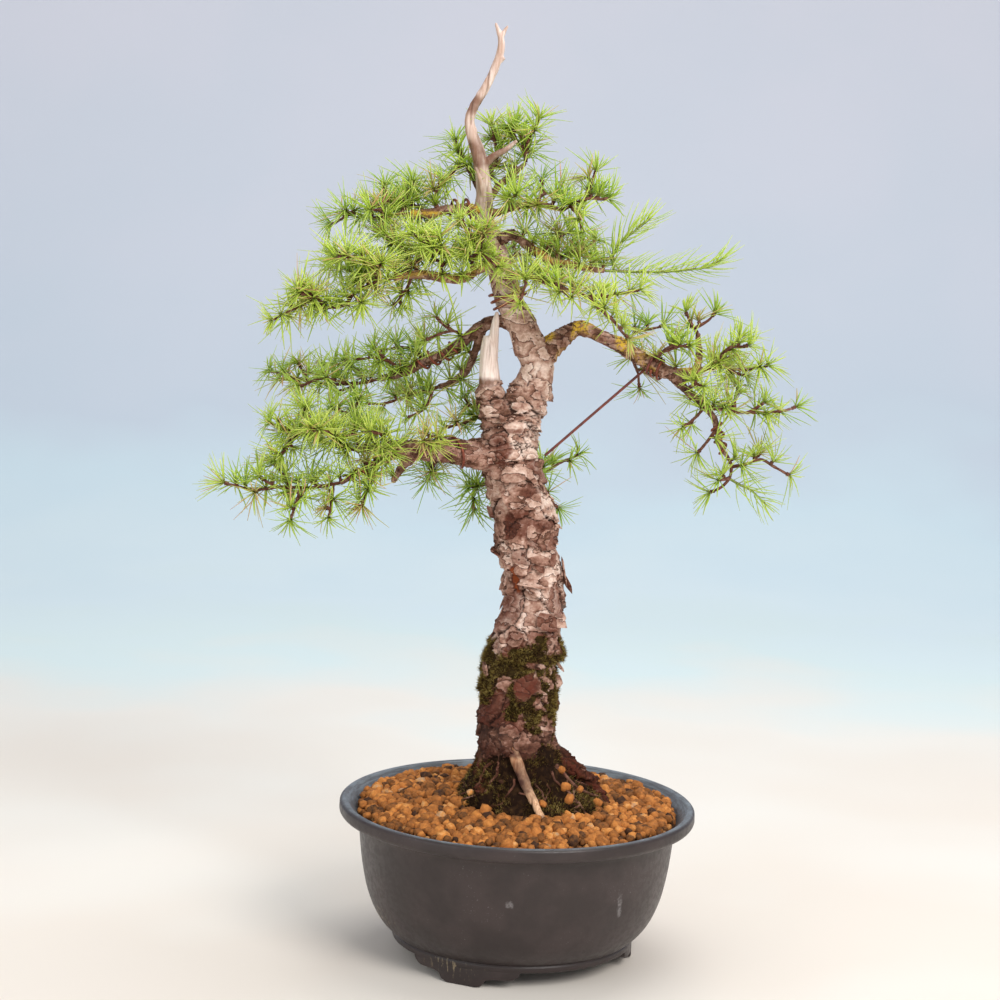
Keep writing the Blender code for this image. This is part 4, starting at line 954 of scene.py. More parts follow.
@dataclass
class Sheet:
    """A node tree that grows by calls: each adds a node and gives what comes out of it."""

    tree: bpy.types.NodeTree

    def add(self, kind: str, inputs: dict[str | int, object], **settings: object) -> bpy.types.Node:
        """Adds a node.

        Args:
            kind: The node's Blender type.
            inputs: What goes into its sockets, by name or number: a socket or a plain value.
            **settings: The node's own settings.

        Returns:
            The node.
        """
        made = self.tree.nodes.new(kind)
        for label, value in settings.items():
            setattr(made, label, value)
        for label, value in inputs.items():
            self.feed(made.inputs[label], value)
        return made

    def feed(self, socket: Socket, value: object) -> None:
        """Links a socket to another one, or gives it a plain value.

        Args:
            socket: The socket.
            value: Another socket, or a number, vector or colour.
        """
        if isinstance(value, Socket):
            self.tree.links.new(value, socket)
        elif socket.type == "RGBA":
            socket.default_value = (*value, 1.0)
        else:
            socket.default_value = value

    def parts(self, vector: Socket) -> tuple[Socket, ...]:
        """A vector's three numbers."""
        return tuple(self.add("ShaderNodeSeparateXYZ", {0: vector}).outputs)

    def value(self, label: str) -> tuple[Socket, ...]:
        """The three numbers of a piece's own point value."""
        return self.parts(self.add("ShaderNodeAttribute", {}, attribute_name=label).outputs["Vector"])

    def vector(self, operation: str, first: object, second: object) -> Socket:
        """Two vectors put together."""
        return self.add("ShaderNodeVectorMath", {0: first, 1: second}, operation=operation).outputs[0]

    def length(self, vector: Socket) -> Socket:
        """A vector's length."""
        return self.add("ShaderNodeVectorMath", {0: vector}, operation="LENGTH").outputs["Value"]

    def noise(self, where: Socket, scale: float, detail: float = 3.0, roughness: float = 0.55) -> Socket:
        """Soft random values round 0.5, with so many spots in a metre."""
        inputs = {"Vector": where, "Scale": scale, "Detail": detail, "Roughness": roughness}
        return self.add("ShaderNodeTexNoise", inputs).outputs[0]

    def maths(self, operation: str, *values: object) -> Socket:
        """One step of arithmetic with plain numbers and sockets."""
        return self.add("ShaderNodeMath", dict(enumerate(values)), operation=operation).outputs[0]

    def times(self, *values: object) -> Socket:
        """A product."""
        return reduce(lambda first, second: self.maths("MULTIPLY", first, second), values)

    def plus(self, *values: object) -> Socket:
        """A sum."""
        return reduce(lambda first, second: self.maths("ADD", first, second), values)

    def span(self, value: Socket, low: float, high: float, start: float = 0.0, end: float = 1.0) -> Socket:
        """A smooth step from start to end as the value goes from low to high."""
        inputs = {0: value, 1: low, 2: high, 3: start, 4: end}
        return self.add("ShaderNodeMapRange", inputs, interpolation_type="SMOOTHSTEP").outputs[0]

    def mix(self, share: object, first: object, second: object) -> Socket:
        """Two colours blended by a share."""
        return self.add("ShaderNodeMix", {0: share, 6: first, 7: second}, data_type="RGBA").outputs[2]

    def layer(self, colour: object, *coats: tuple[object, object]) -> Socket:
        """A colour under coats of other colours, each of which comes after its share."""
        return reduce(lambda under, coat: self.mix(coat[0], under, coat[1]), coats, colour)

    def ramp(self, value: Socket, stops: Stops) -> Socket:
        """A colour read off a row of stops.

        Args:
            value: Where to read it.
            stops: Positions and their colours.

        Returns:
            The colour.
        """
        made = self.add("ShaderNodeValToRGB", {0: value})
        elements = made.color_ramp.elements
        while len(elements) < len(stops):
            elements.new(0.5)
        for element, (spot, colour) in zip(elements, stops):
            element.position = spot
            element.color = (*colour, 1.0)
        return made.outputs[0]

    def bump(self, height: Socket, distance: float, strength: float) -> Socket:
        """A normal tipped by a height, whose full range stands for a distance in metres."""
        inputs = {"Height": height, "Distance": distance, "Strength": strength}
        return self.add("ShaderNodeBump", inputs).outputs[0]

    def group(self, tree: bpy.types.NodeTree, inputs: dict[str, object]) -> bpy.types.bpy_prop_collection:
        """What comes out of a shared group of nodes.

        Args:
            tree: The group.
            inputs: What goes into its sockets, by name.

        Returns:
            Its outputs.
        """
        made = self.tree.nodes.new("ShaderNodeGroup")
        made.node_tree = tree
        for label, value in inputs.items():
            self.feed(made.inputs[label], value)
        return made.outputs


def shared_group(name: str, given: dict[str, str], masks: tuple[str, ...]) -> tuple[Sheet, dict, dict]:
    """Starts a shared group of shader nodes.

    Args:
        name: The group's name.
        given: Its inputs' names and socket types.
        masks: The names of the values that it puts out.

    Returns:
        Its sheet, what it is given and where its masks go.
    """
    tree = bpy.data.node_groups.new(name, "ShaderNodeTree")
    for label, kind in given.items():
        tree.interface.new_socket(label, in_out="INPUT", socket_type=kind)
    for label in masks:
        tree.interface.new_socket(label, in_out="OUTPUT", socket_type=NUMBER)
    sheet = Sheet(tree)
    entry = sheet.add("NodeGroupInput", {}).outputs
    result = sheet.add("NodeGroupOutput", {}).inputs
    return sheet, {label: entry[label] for label in given}, {label: result[label] for label in masks}


def mottle_group() -> bpy.types.NodeTree:
    """Masks that every worn or grown surface here shares: broad patches, fine patches and specks.

    Returns:
        The group.
    """
    kinds = {
        "Broad": (38.0, 3.0, 0.55, 0.36, 0.64),
        "Fine": (260.0, 4.0, 0.6, 0.34, 0.66),
        "Specks": (900.0, 2.0, 0.5, 0.66, 0.74),
    }
    sheet, given, masks = shared_group("mottle", {"Place": VECTOR, "Seed": NUMBER}, tuple(kinds))
    moved = sheet.vector("ADD", given["Place"], given["Seed"])
    for label, (scale, detail, roughness, low, high) in kinds.items():
        sheet.feed(masks[label], sheet.span(sheet.noise(moved, scale, detail, roughness), low, high))
    return sheet.tree


def patch_group() -> bpy.types.NodeTree:
    """A soft ragged patch round a place: 1 in its middle and 0 outside its reach.

    Returns:
        The group.
    """
    given = dict.fromkeys(("Place", "Middle", "Reach"), VECTOR)
    sheet, given, masks = shared_group("patch", given, ("Mask",))
    share = sheet.vector("DIVIDE", sheet.vector("SUBTRACT", given["Place"], given["Middle"]), given["Reach"])
    ragged = sheet.plus(sheet.length(share), sheet.times(sheet.noise(given["Place"], 420.0, 4.0), 1.3))
    sheet.feed(masks["Mask"], sheet.span(ragged, 0.85, 1.45, 1.0, 0.0))
    return sheet.tree


MOTTLE = mottle_group()
PATCH = patch_group()


def from_axis(x: float, y: float, z: float) -> Triple:
    """A place given in millimetres from the pot's axis, in metres in the part's frame."""
    spot = (np.array((x, y, z)) + ORIGIN) * MM
    return (float(spot[0]), float(spot[1]), float(spot[2]))


@dataclass
class Paint(Sheet):
    """A material's own sheet, with a point's place in metres and the masks that all materials share."""

    made: Material
    where: Socket
    broad: Socket
    fine: Socket
    specks: Socket

    def streaks(self, scale: Triple, detail: float, roughness: float) -> Socket:
        """Noise with so many spots in a metre along x, along y and along z."""
        return self.noise(self.vector("MULTIPLY", self.where, scale), 1.0, detail, roughness)

    def patch(self, middle: Triple, reach: Triple) -> Socket:
        """A ragged patch round a place in millimetres from the pot's axis, with its reach in metres."""
        return self.group(PATCH, {"Place": self.where, "Middle": from_axis(*middle), "Reach": reach})[0]

    def shifted(self, value: Socket, source: Socket, low: float, high: float, by: float) -> Socket:
        """A value moved up or down as much as told, as the source goes from low to high."""
        return self.plus(value, self.span(source, low, high, -by, by))

    def finish(self, colour: object, roughness: object, more: dict[str, object]) -> Material:
        """Feeds the shader and gives the material.

        Args:
            colour: The base colour.
            roughness: The roughness.
            more: The shader's other inputs, by name.

        Returns:
            The material.
        """
        shader = self.tree.nodes["Principled BSDF"]
        for label, value in {"Base Color": colour, "Roughness": roughness, **more}.items():
            self.feed(shader.inputs[label], value)
        return self.made


def painted(name: str, seed: float) -> Paint:
    """Starts a material, whose shared masks are moved by a seed.

    Args:
        name: The material's name.
        seed: How far its masks are moved.

    Returns:
        Its sheet.
    """
    made = bpy.data.materials.new(name)
    made.use_nodes = True
    sheet = Sheet(made.node_tree)
    where = sheet.add("ShaderNodeTexCoord", {}).outputs["Object"]
    return Paint(made.node_tree, made, where, *sheet.group(MOTTLE, {"Place": where, "Seed": seed}))


@dataclass(frozen=True)
class PlasticFinish:
    """The pot's dark plastic: smooth and a little purple, chalky and limed in a few places."""

    base: Colour = tint(42, 32, 31)
    worn: Colour = tint(66, 53, 52)
    # Painted sheen: pale blue-grey laid on the lip's upward faces.
    lip: Colour = tint(112, 121, 128)
    dust: Colour = tint(150, 146, 146)
    lime: Colour = tint(190, 170, 134)
    roughness: float = 0.4

    def material(self) -> Material:
        """Builds the finish: worn patches, a painted sheen on the lip's upward faces broken by scuffs, lime
        low down, chalk and dust.

        Returns:
            The material.
        """
        sheet = painted("pot_plastic", 3.0)
        height = sheet.parts(sheet.where)[2]
        facing = sheet.parts(sheet.add("ShaderNodeNewGeometry", {}).outputs["Normal"])[2]
        from_middle = sheet.vector("SUBTRACT", sheet.where, from_axis(0, 0, 0))
        around = sheet.vector("MULTIPLY", from_middle, (1.0, 1.0, 0.0))
        inside = sheet.span(sheet.length(around), 0.1125, 0.1145, 1.0, 0.0)
        # Painted sheen: the upward-facing lip inside its rim is painted lighter, broken by scuffs.
        level = sheet.times(sheet.span(facing, 0.3, 0.8), inside)
        lip_sheen_mask = sheet.times(sheet.span(height, 0.089, 0.093), level)
        scuffs = sheet.span(sheet.streaks((60.0, 60.0, 900.0), 5.0, 0.7), 0.4, 0.62, 0.35, 0.9)
        runs = sheet.span(sheet.streaks((520.0, 520.0, 110.0), 4.0, 0.6), 0.56, 0.66)
        low_left = sheet.patch((-84, -30, 28), (0.02, 0.05, 0.022))
        low_front = sheet.patch((-40, -70, 10), (0.03, 0.03, 0.01))
        limed = sheet.maths("MAXIMUM", low_left, sheet.times(low_front, 0.6))
        chalk = sheet.patch((66, -76, 56), (0.0024, 0.02, 0.014))
        smudge = sheet.patch((-2, -99, 62), (0.004, 0.02, 0.004))
        pale = sheet.times(sheet.maths("MAXIMUM", chalk, smudge), sheet.span(sheet.fine, 0.1, 0.9, 0.2, 0.8))
        specks = sheet.times(sheet.specks, sheet.span(sheet.broad, 0.5, 1.0, 0.0, 0.5))
        dusty = sheet.maths("MAXIMUM", sheet.times(pale, 0.6), sheet.times(specks, 0.5))
        colour = sheet.layer(
            self.base,
            (sheet.times(sheet.broad, 0.4), self.worn),
            (sheet.times(lip_sheen_mask, scuffs), self.lip),
            (sheet.times(runs, limed, 0.6), self.lime),
            (dusty, self.dust),
        )
        rough = sheet.span(sheet.fine, 0.0, 1.0, self.roughness - 0.03, self.roughness + 0.08)
        rough = sheet.plus(rough, sheet.times(dusty, 0.3))
        grain = sheet.bump(sheet.noise(sheet.where, 1500.0), 0.0001, 0.4)
        return sheet.finish(colour, rough, {"Normal": grain})


@dataclass(frozen=True)
class ClayFinish:
    """Fired clay granules. Each carries its own tone; painted shade darkens the bed below them and the lower
    layer of grains.
    """

    stops: Stops = (
        (0.0, tint(68, 46, 34)), (0.14, tint(110, 72, 40)), (0.36, tint(156, 98, 50)),
        (0.6, tint(192, 122, 62)), (0.8, tint(216, 142, 72)), (0.93, tint(226, 164, 100)),
        (1.0, tint(198, 156, 118)),
    )
    # Painted shade between the grains; the fine patches darken towards it too.
    shade: Colour = tint(46, 26, 14)

    def material(self) -> Material:
        """Builds the finish.

        Returns:
            The material.
        """
        sheet = painted("akadama", 8.0)
        tone, depth_shade, _ = sheet.value("grain")
        spread = sheet.shifted(tone, sheet.noise(sheet.where, 420.0, 4.0), 0.3, 0.7, 0.12)
        dark = sheet.span(sheet.fine, 0.0, 1.0, 0.0, 0.22)
        # Painted shade: the bed and the lower grains are darkened by their second grain value.
        colour = sheet.layer(sheet.ramp(spread, self.stops), (dark, self.shade), (depth_shade, self.shade))
        rough = sheet.bump(sheet.noise(sheet.where, 1000.0, 5.0, 0.65), 0.0006, 0.8)
        return sheet.finish(colour, 0.85, {"Specular IOR Level": 0.2, "Normal": rough})


@dataclass(frozen=True)
class BarkFinish:
    """Larch bark: pinkish grey flaky plates, painted shadow in the gaps and along stepped edges, red patches,
    lichen and moss.
    """

    plates: Stops = (
        (0.0, tint(66, 40, 31)), (0.28, tint(114, 76, 61)), (0.52, tint(168, 127, 110)),
        (0.76, tint(214, 180, 163)), (1.0, tint(246, 222, 208)),
    )
    # Painted shadow: the dark in the gaps between plates and along the foot of each step; random dark flecks
    # take it too.
    crack_shadow: Colour = tint(46, 27, 21)
    fresh: Colour = tint(98, 46, 32)
    orange: Colour = tint(146, 70, 34)
    moss: Colour = tint(64, 54, 26)
    dark_moss: Colour = tint(32, 21, 13)
    lichen: Colour = tint(216, 176, 62)
    twig: Colour = tint(128, 96, 76)
    scale: Colour = (0.72, 0.6, 0.55)

    def material(self) -> Material:
        """Builds the finish: stepped layers on each plate with painted light and shade, then the coats that
        cover them and painted shadow in the gaps.

        Returns:
            The material.
        """
        sheet = painted("larch_bark", 1.0)
        # The first relief value is painted shadow in the gaps between plates.
        crack_shadow, plate, age = sheet.value("relief")
        moss, fresh, lichen = sheet.value("cover")
        flecks = sheet.streaks((520.0, 520.0, 760.0), 5.0, 0.7)
        clouds = sheet.noise(sheet.where, 150.0, 3.0, 0.6)
        layers = sheet.times(sheet.streaks((44.0, 44.0, 74.0), 5.0, 0.5), 7.0)
        step = sheet.maths("FRACT", layers)
        # Painted light and shade: each step is darker at its foot and lighter towards its rim.
        painted_step_light = sheet.span(step, 0.0, 1.0, -0.17, 0.15)
        tone = sheet.plus(plate, sheet.span(flecks, 0.28, 0.72, -0.1, 0.12), painted_step_light)
        colour = sheet.ramp(sheet.shifted(tone, clouds, 0.3, 0.7, 0.1), self.plates)
        colour = sheet.mix(sheet.times(age, 0.85), sheet.mix(sheet.fine, self.twig, colour), colour)
        red = sheet.mix(sheet.span(fresh, 0.85, 1.0), self.fresh, self.orange)
        red = sheet.mix(sheet.span(flecks, 0.5, 0.75, 0.0, 0.3), red, colour)
        spotted = sheet.span(sheet.noise(sheet.where, 520.0, 4.0, 0.65), 0.4, 0.5)
        ragged = sheet.span(sheet.shifted(moss, clouds, 0.3, 0.7, 0.3), 0.35, 0.65)
        colour = sheet.layer(
            colour,
            (sheet.times(fresh, sheet.span(clouds, 0.36, 0.56, 0.55, 1.0)), red),
            (sheet.times(sheet.span(flecks, 0.6, 0.7), 0.15), self.scale),
            (sheet.times(sheet.span(flecks, 0.36, 0.28), 0.35), self.crack_shadow),
            # Painted shadow along the foot of each step.
            (sheet.times(sheet.span(step, 0.0, 0.14, 0.85, 0.0), age), self.crack_shadow),
            (sheet.times(lichen, spotted), self.lichen),
            (sheet.times(ragged, 0.97), sheet.mix(sheet.fine, self.dark_moss, self.moss)),
            (sheet.span(crack_shadow, 0.3, 1.0, 0.0, 0.9), self.crack_shadow),
        )
        ledge = sheet.plus(sheet.maths("SUBTRACT", layers, step), sheet.span(step, 0.0, 0.2))
        grain = sheet.noise(sheet.where, 1500.0, 3.0, 0.6)
        height = sheet.plus(sheet.times(flecks, 0.6), grain, sheet.times(ledge, 1.1))
        gloss = sheet.span(moss, 0.0, 0.5, 0.22, 0.0)
        more = {"Specular IOR Level": gloss, "Normal": sheet.bump(height, 0.0009, 0.8)}
        return sheet.finish(colour, 0.8, more)


@dataclass(frozen=True)
class BareWoodFinish:
    """Wood without its bark, bleached or peeled, with fine lines along the grain and painted shade in its
    grooves.
    """

    name: str
    pale: Colour
    dark: Colour
    stain: Colour
    lines: float = 0.45
    # Painted shade in the carved grooves.
    groove_shade: Colour = tint(110, 74, 54)

    def material(self) -> Material:
        """Builds the finish.

        Returns:
            The material.
        """
        sheet = painted(self.name, 5.0)
        groove, stain, tan = sheet.value("wood")
        streaks = sheet.streaks((900.0, 900.0, 60.0), 4.0, 0.6)
        colour = sheet.layer(
            self.pale,
            (sheet.span(streaks, 0.36, 0.66, 0.0, self.lines), self.dark),
            (sheet.times(sheet.broad, 0.2), self.dark),
            # tan also carries painted shade on the wood's left-facing side, and stain is darker there too.
            (sheet.times(tan, 0.9), self.dark),
            (sheet.times(stain, sheet.span(sheet.fine, 0.0, 1.0, 0.8, 1.0)), self.stain),
            (sheet.times(groove, 0.5), self.groove_shade),
        )
        return sheet.finish(colour, 0.75, {"Normal": sheet.bump(streaks, 0.0004, 0.5)})


@dataclass(frozen=True)
class WireFinish:
    """Copper-coloured aluminium wire, dulled in places."""

    name: str = "training_wire"
    bright: Colour = tint(154, 84, 64)
    dull: Colour = tint(96, 50, 42)
    roughness: float = 0.36

    def material(self) -> Material:
        """Builds the finish.

        Returns:
            The material.
        """
        sheet = painted(self.name, 6.0)
        colour = sheet.mix(sheet.times(sheet.fine, 0.8), self.bright, self.dull)
        rough = sheet.span(sheet.fine, 0.0, 1.0, self.roughness, self.roughness + 0.15)
        drawn = sheet.bump(sheet.noise(sheet.where, 1800.0, 2.0), 0.0001, 0.4)
        return sheet.finish(colour, rough, {"Metallic": 0.45, "Normal": drawn})


@dataclass(frozen=True)
class NeedleFinish:
    """Soft green needles: painted shade from the spray's place in the light, with random spread, turns lime
    to mid green, and dry ones are pinkish tan.
    """

    greens: Stops = (
        (0.0, tint(194, 216, 92)), (0.25, tint(174, 202, 74)), (0.5, tint(150, 184, 64)),
        (0.75, tint(128, 166, 58)), (1.0, tint(106, 146, 56)),
    )
    dry: Colour = tint(206, 150, 118)
    base: Colour = tint(196, 206, 128)
    tip: Colour = tint(208, 212, 122)
    glow: Triple = (0.002, 0.003, 0.0008)

    def material(self) -> Material:
        """Builds the finish.

        Returns:
            The material.
        """
        sheet = painted("larch_needles", 2.0)
        # fresh holds painted shade: sprays further from the light are painted a darker green.
        along, fresh, dry = sheet.value("leaf")
        colour = sheet.layer(
            sheet.ramp(sheet.shifted(fresh, sheet.fine, 0.0, 1.0, 0.08), self.greens),
            (sheet.span(along, 0.0, 0.2, 0.5, 0.0), self.base),
            (sheet.span(along, 0.8, 1.0, 0.0, 0.35), self.tip),
            (dry, self.dry),
        )
        more = {"Subsurface Weight": 0.35, "Subsurface Radius": self.glow, "Subsurface Scale": 1.0}
        return sheet.finish(colour, 0.42, more)


@dataclass(frozen=True)
class MossFinish:
    """Moss and dark humus, greener towards the tips."""

    stops: Stops = (
        (0.0, tint(34, 20, 12)), (0.25, tint(62, 42, 24)), (0.45, tint(102, 82, 40)),
        (0.7, tint(158, 138, 70)), (1.0, tint(218, 196, 132)),
    )

    def material(self) -> Material:
        """Builds the finish.

        Returns:
            The material.
        """
        sheet = painted("moss", 4.0)
        tone, _, _ = sheet.value("grain")
        colour = sheet.ramp(sheet.shifted(tone, sheet.fine, 0.0, 1.0, 0.12), self.stops)
        rough = sheet.bump(sheet.noise(sheet.where, 1400.0, 4.0, 0.7), 0.0008, 0.9)
        return sheet.finish(colour, 0.9, {"Specular IOR Level": 0.1, "Normal": rough})


@dataclass(frozen=True)
class StageFinish:
    """The studio's paper sweep: cream near the object, pale blue behind and grey-blue above."""

    stops: Stops = (
        (0.0, tint(228, 219, 208)), (0.1, tint(231, 227, 219)), (0.2, tint(215, 230, 230)),
        (0.3, tint(215, 230, 235)), (0.42, tint(208, 226, 234)), (0.55, tint(204, 215, 226)),
        (1.0, tint(222, 222, 232)),
    )

    def material(self) -> Material:
        """Builds the finish.

        Returns:
            The material.
        """
        sheet = painted("stage_paper", 0.0)
        _, back, up = sheet.parts(sheet.where)
        share = sheet.span(sheet.plus(back, up), -0.2, 4.0)
        share = sheet.shifted(share, sheet.noise(sheet.where, 3.0, 2.0), 0.3, 0.7, 0.05)
        return sheet.finish(sheet.ramp(share, self.stops), 0.95, {})


# Sub-assemblies.


def settle(made: bpy.types.Object, slot: str, *nodes: str) -> bpy.types.Object:
    """Ties a piece to the part so that it moves with it, and hides the CAD nodes that it stands for.

    Args:
        made: The piece.
        slot: Its material slot; not used.
        *nodes: The CAD nodes that it stands for.

    Returns:
        The piece.
    """
    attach(made, "root")
    if nodes:
        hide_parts(*nodes)
    LOG.info("%s: %d faces", made.name, len(made.data.polygons))
    return made


def rounded_line(corners: Array, steps: int = 5) -> Array:
    """A closed line with rounded corners.

    Each corner becomes a quadratic curve: (1-t)^2 * first + 2t(1-t) * corner + t^2 * last, where
    first and last lie on its two sides at the rounding's distance.

    Args:
        corners: Rows of two coordinates and the rounding.
        steps: Points on each curve.

    Returns:
        The line's points.
    """
    spots = corners[:, :2]
    first = spots + unit(np.roll(spots, 1, axis=0) - spots) * corners[:, 2:3]
    last = spots + unit(np.roll(spots, -1, axis=0) - spots) * corners[:, 2:3]
    t = np.linspace(0.0, 1.0, steps)[None, :, None]
    curve = (1 - t) ** 2 * first[:, None] + 2 * t * (1 - t) * spots[:, None] + t**2 * last[:, None]
    return curve.reshape(-1, 2)


def lathe_shape(profile: Array, segments: int) -> Shape:
    """A closed line of radius and height, turned round the pot's axis.

    Args:
        profile: Rows of radius and height.
        segments: Points in a full turn.

    Returns:
        The closed shape.
    """
    angle = ring_angles(segments)[None, :]
    radius = profile[:, 0:1]
    rings = np.stack([radius * np.cos(angle), radius * np.sin(angle), profile[:, 1:2] + 0.0 * angle], axis=2)
    faces = ring_faces(len(profile) + 1, segments) % (len(profile) * segments)
    return Shape(rings.reshape(-1, 3), [faces])


def outward(shape: Shape) -> Shape:
    """The closed shape with all its faces looking out, judged by the sign of its volume.

    Args:
        shape: The shape.

    Returns:
        The shape, turned if it has to be.
    """
    a, b, c = shape.corners()
    if np.einsum("ij,ij->", a, np.cross(b, c)) < 0:
        return Shape(shape.points, [face[:, ::-1] for face in shape.faces], shape.values)
    return shape


@dataclass
class PlasticPot:
    """The round training pot: a bowl with a broad lip and a drain hole, on three cloud-shaped feet."""

    segments: int = 176
    foot_angles: tuple[float, ...] = (-113.5, 6.5, 126.5)
    foot_outer: float = 78.2
    foot_top: float = 12.4
    crease: float = 38.0
    foot_section: tuple[tuple[float, float], ...] = (
        (0.0, 13.0), (0.0, 1.3), (0.35, 0.4), (1.2, 0.0), (15.0, 0.0), (16.2, 0.9), (16.2, 13.0),
    )
    bowl: tuple[Triple, ...] = (
        (11.0, 11.5, 0.3), (78.2, 11.5, 0.7), (78.6, 13.5, 0.5), (78.6, 15.0, 0.5), (77.8, 16.0, 0.5),
        (80.2, 17.4, 1.0), (86.6, 23.8, 4.0), (91.6, 32.0, 4.5), (96.2, 44.0, 6.0), (99.8, 62.0, 8.0),
        (102.5, 87.5, 1.6), (104.5, 90.2, 1.2), (113.8, 92.3, 0.9), (115.1, 94.4, 0.8),
        (114.9, 99.6, 0.8), (113.4, 101.0, 0.8), (110.4, 101.0, 1.4), (105.0, 95.5, 1.6),
        (99.0, 88.0, 3.0), (95.0, 60.0, 7.0), (88.0, 35.0, 8.0), (74.0, 17.0, 3.0), (11.0, 17.0, 0.3),
    )
    foot_half: tuple[Triple, ...] = (
        (10.6, 0.0, 1.4), (14.2, 1.6, 1.4), (16.2, 5.2, 1.8), (20.5, 6.0, 2.0), (33.0, 6.0, 2.4),
        (37.4, 8.4, 1.4), (38.8, 12.2, 0.5),
    )

    def foot(self, angle: float) -> Shape:
        """A foot along the base's edge: its outline runs round the pot, its lower edges are rounded.

        Each row of the outline holds the way along the edge in millimetres, the height and the
        rounding there; the other half mirrors it. Each row of the section holds the way in and up.

        Args:
            angle: Where its middle is, in degrees.

        Returns:
            The foot.
        """
        half = np.array(self.foot_half)
        line = rounded_line(np.vstack([(half * (-1, 1, 1))[::-1], half]), 4)[2:-2]
        way = np.radians(angle) + line[:, 0] / self.foot_outer
        low = np.minimum(line[:, 1], self.foot_top - 0.3)
        rings = []
        for inset, up in self.foot_section:
            radius = self.foot_outer - inset
            height = np.minimum(low + up, self.foot_top)
            rings.append(np.column_stack([radius * np.cos(way), radius * np.sin(way), height]))
        skin = np.stack(rings, axis=1)
        return outward(capped(skin, skin[[0, -1]].mean(axis=1)))

    def build(self, material: Material) -> bpy.types.Object:
        """Builds the pot.

        Args:
            material: Its finish.

        Returns:
            The pot.
        """
        bowl = outward(lathe_shape(rounded_line(np.array(self.bowl), 4), self.segments))
        feet = [self.foot(angle) for angle in self.foot_angles]
        made = join_shapes([bowl, *feet]).to_object("plastic_pot", material)
        made.data.set_sharp_from_angle(angle=math.radians(self.crease))
        return settle(made, "pot_plastic", "pot")


def pebble() -> tuple[Array, Array]:
    """The 26 points and 24 faces of a cube whose sides are cut in four, from -1 to 1.

    Returns:
        The points and the faces.
    """
    grid = np.array([spot for spot in np.ndindex(3, 3, 3) if spot != (1, 1, 1)]) - 1
    code = grid @ np.array((9, 3, 1))
    order = np.argsort(code)
    faces = []
    for axis, sign, u, v in np.ndindex(3, 2, 2, 2):
        corners = np.zeros((4, 3), int)
        corners[:, axis] = 2 * sign - 1
        corners[:, (axis + 1) % 3] = np.array((0, 1, 1, 0)) + u - 1
        corners[:, (axis + 2) % 3] = np.array((0, 0, 1, 1)) + v - 1
        numbers = order[np.searchsorted(code[order], corners @ np.array((9, 3, 1)))]
        faces.append(numbers if sign else numbers[::-1])
    return grid.astype(float), np.array(faces)


def granules(spots: Array, sizes: Array, tones: Array, depth_shades: Array, rng: np.random.Generator) -> Shape:
    """Rounded angular grains, each turned and misshapen at random.

    Args:
        spots: Their middles.
        sizes: Their half widths in millimetres.
        tones: Their shades from 0 to 1.
        depth_shades: How much painted shade darkens each one, from 0 to 1.
        rng: The source of random numbers.

    Returns:
        The grains, with tone and painted shade as a value named grain.
    """
    corners, faces = pebble()
    ball = 0.78 * unit(corners) + 0.2 * corners
    count = len(spots)
    body = ball[None] * (1.0 + rng.normal(0.0, 0.085, (count, len(ball), 1)))
    body = body * rng.uniform(0.74, 1.16, (count, 1, 3)) * sizes[:, None, None]
    turns = np.linalg.qr(rng.normal(size=(count, 3, 3)))[0]
    turns[:, :, 0] *= np.linalg.det(turns)[:, None]
    points = np.einsum("nij,nkj->nki", turns, body) + spots[:, None, :]
    numbers = faces[None] + np.arange(count)[:, None, None] * len(ball)
    made = Shape(points.reshape(-1, 3), [numbers.reshape(-1, 4)])
    made.mark("grain", np.repeat(tones, len(ball)), np.repeat(depth_shades, len(ball)), 0.0)
    return made


def soil_height(x: Array, y: Array) -> Array:
    """The soil's crown: 96 mm at the pot's wall and 9 mm higher at the axis, as a parabola."""
    share = np.minimum(1.0, np.hypot(x, y) / 104.0)
    return 96.0 + 9.0 * (1.0 - share**2)


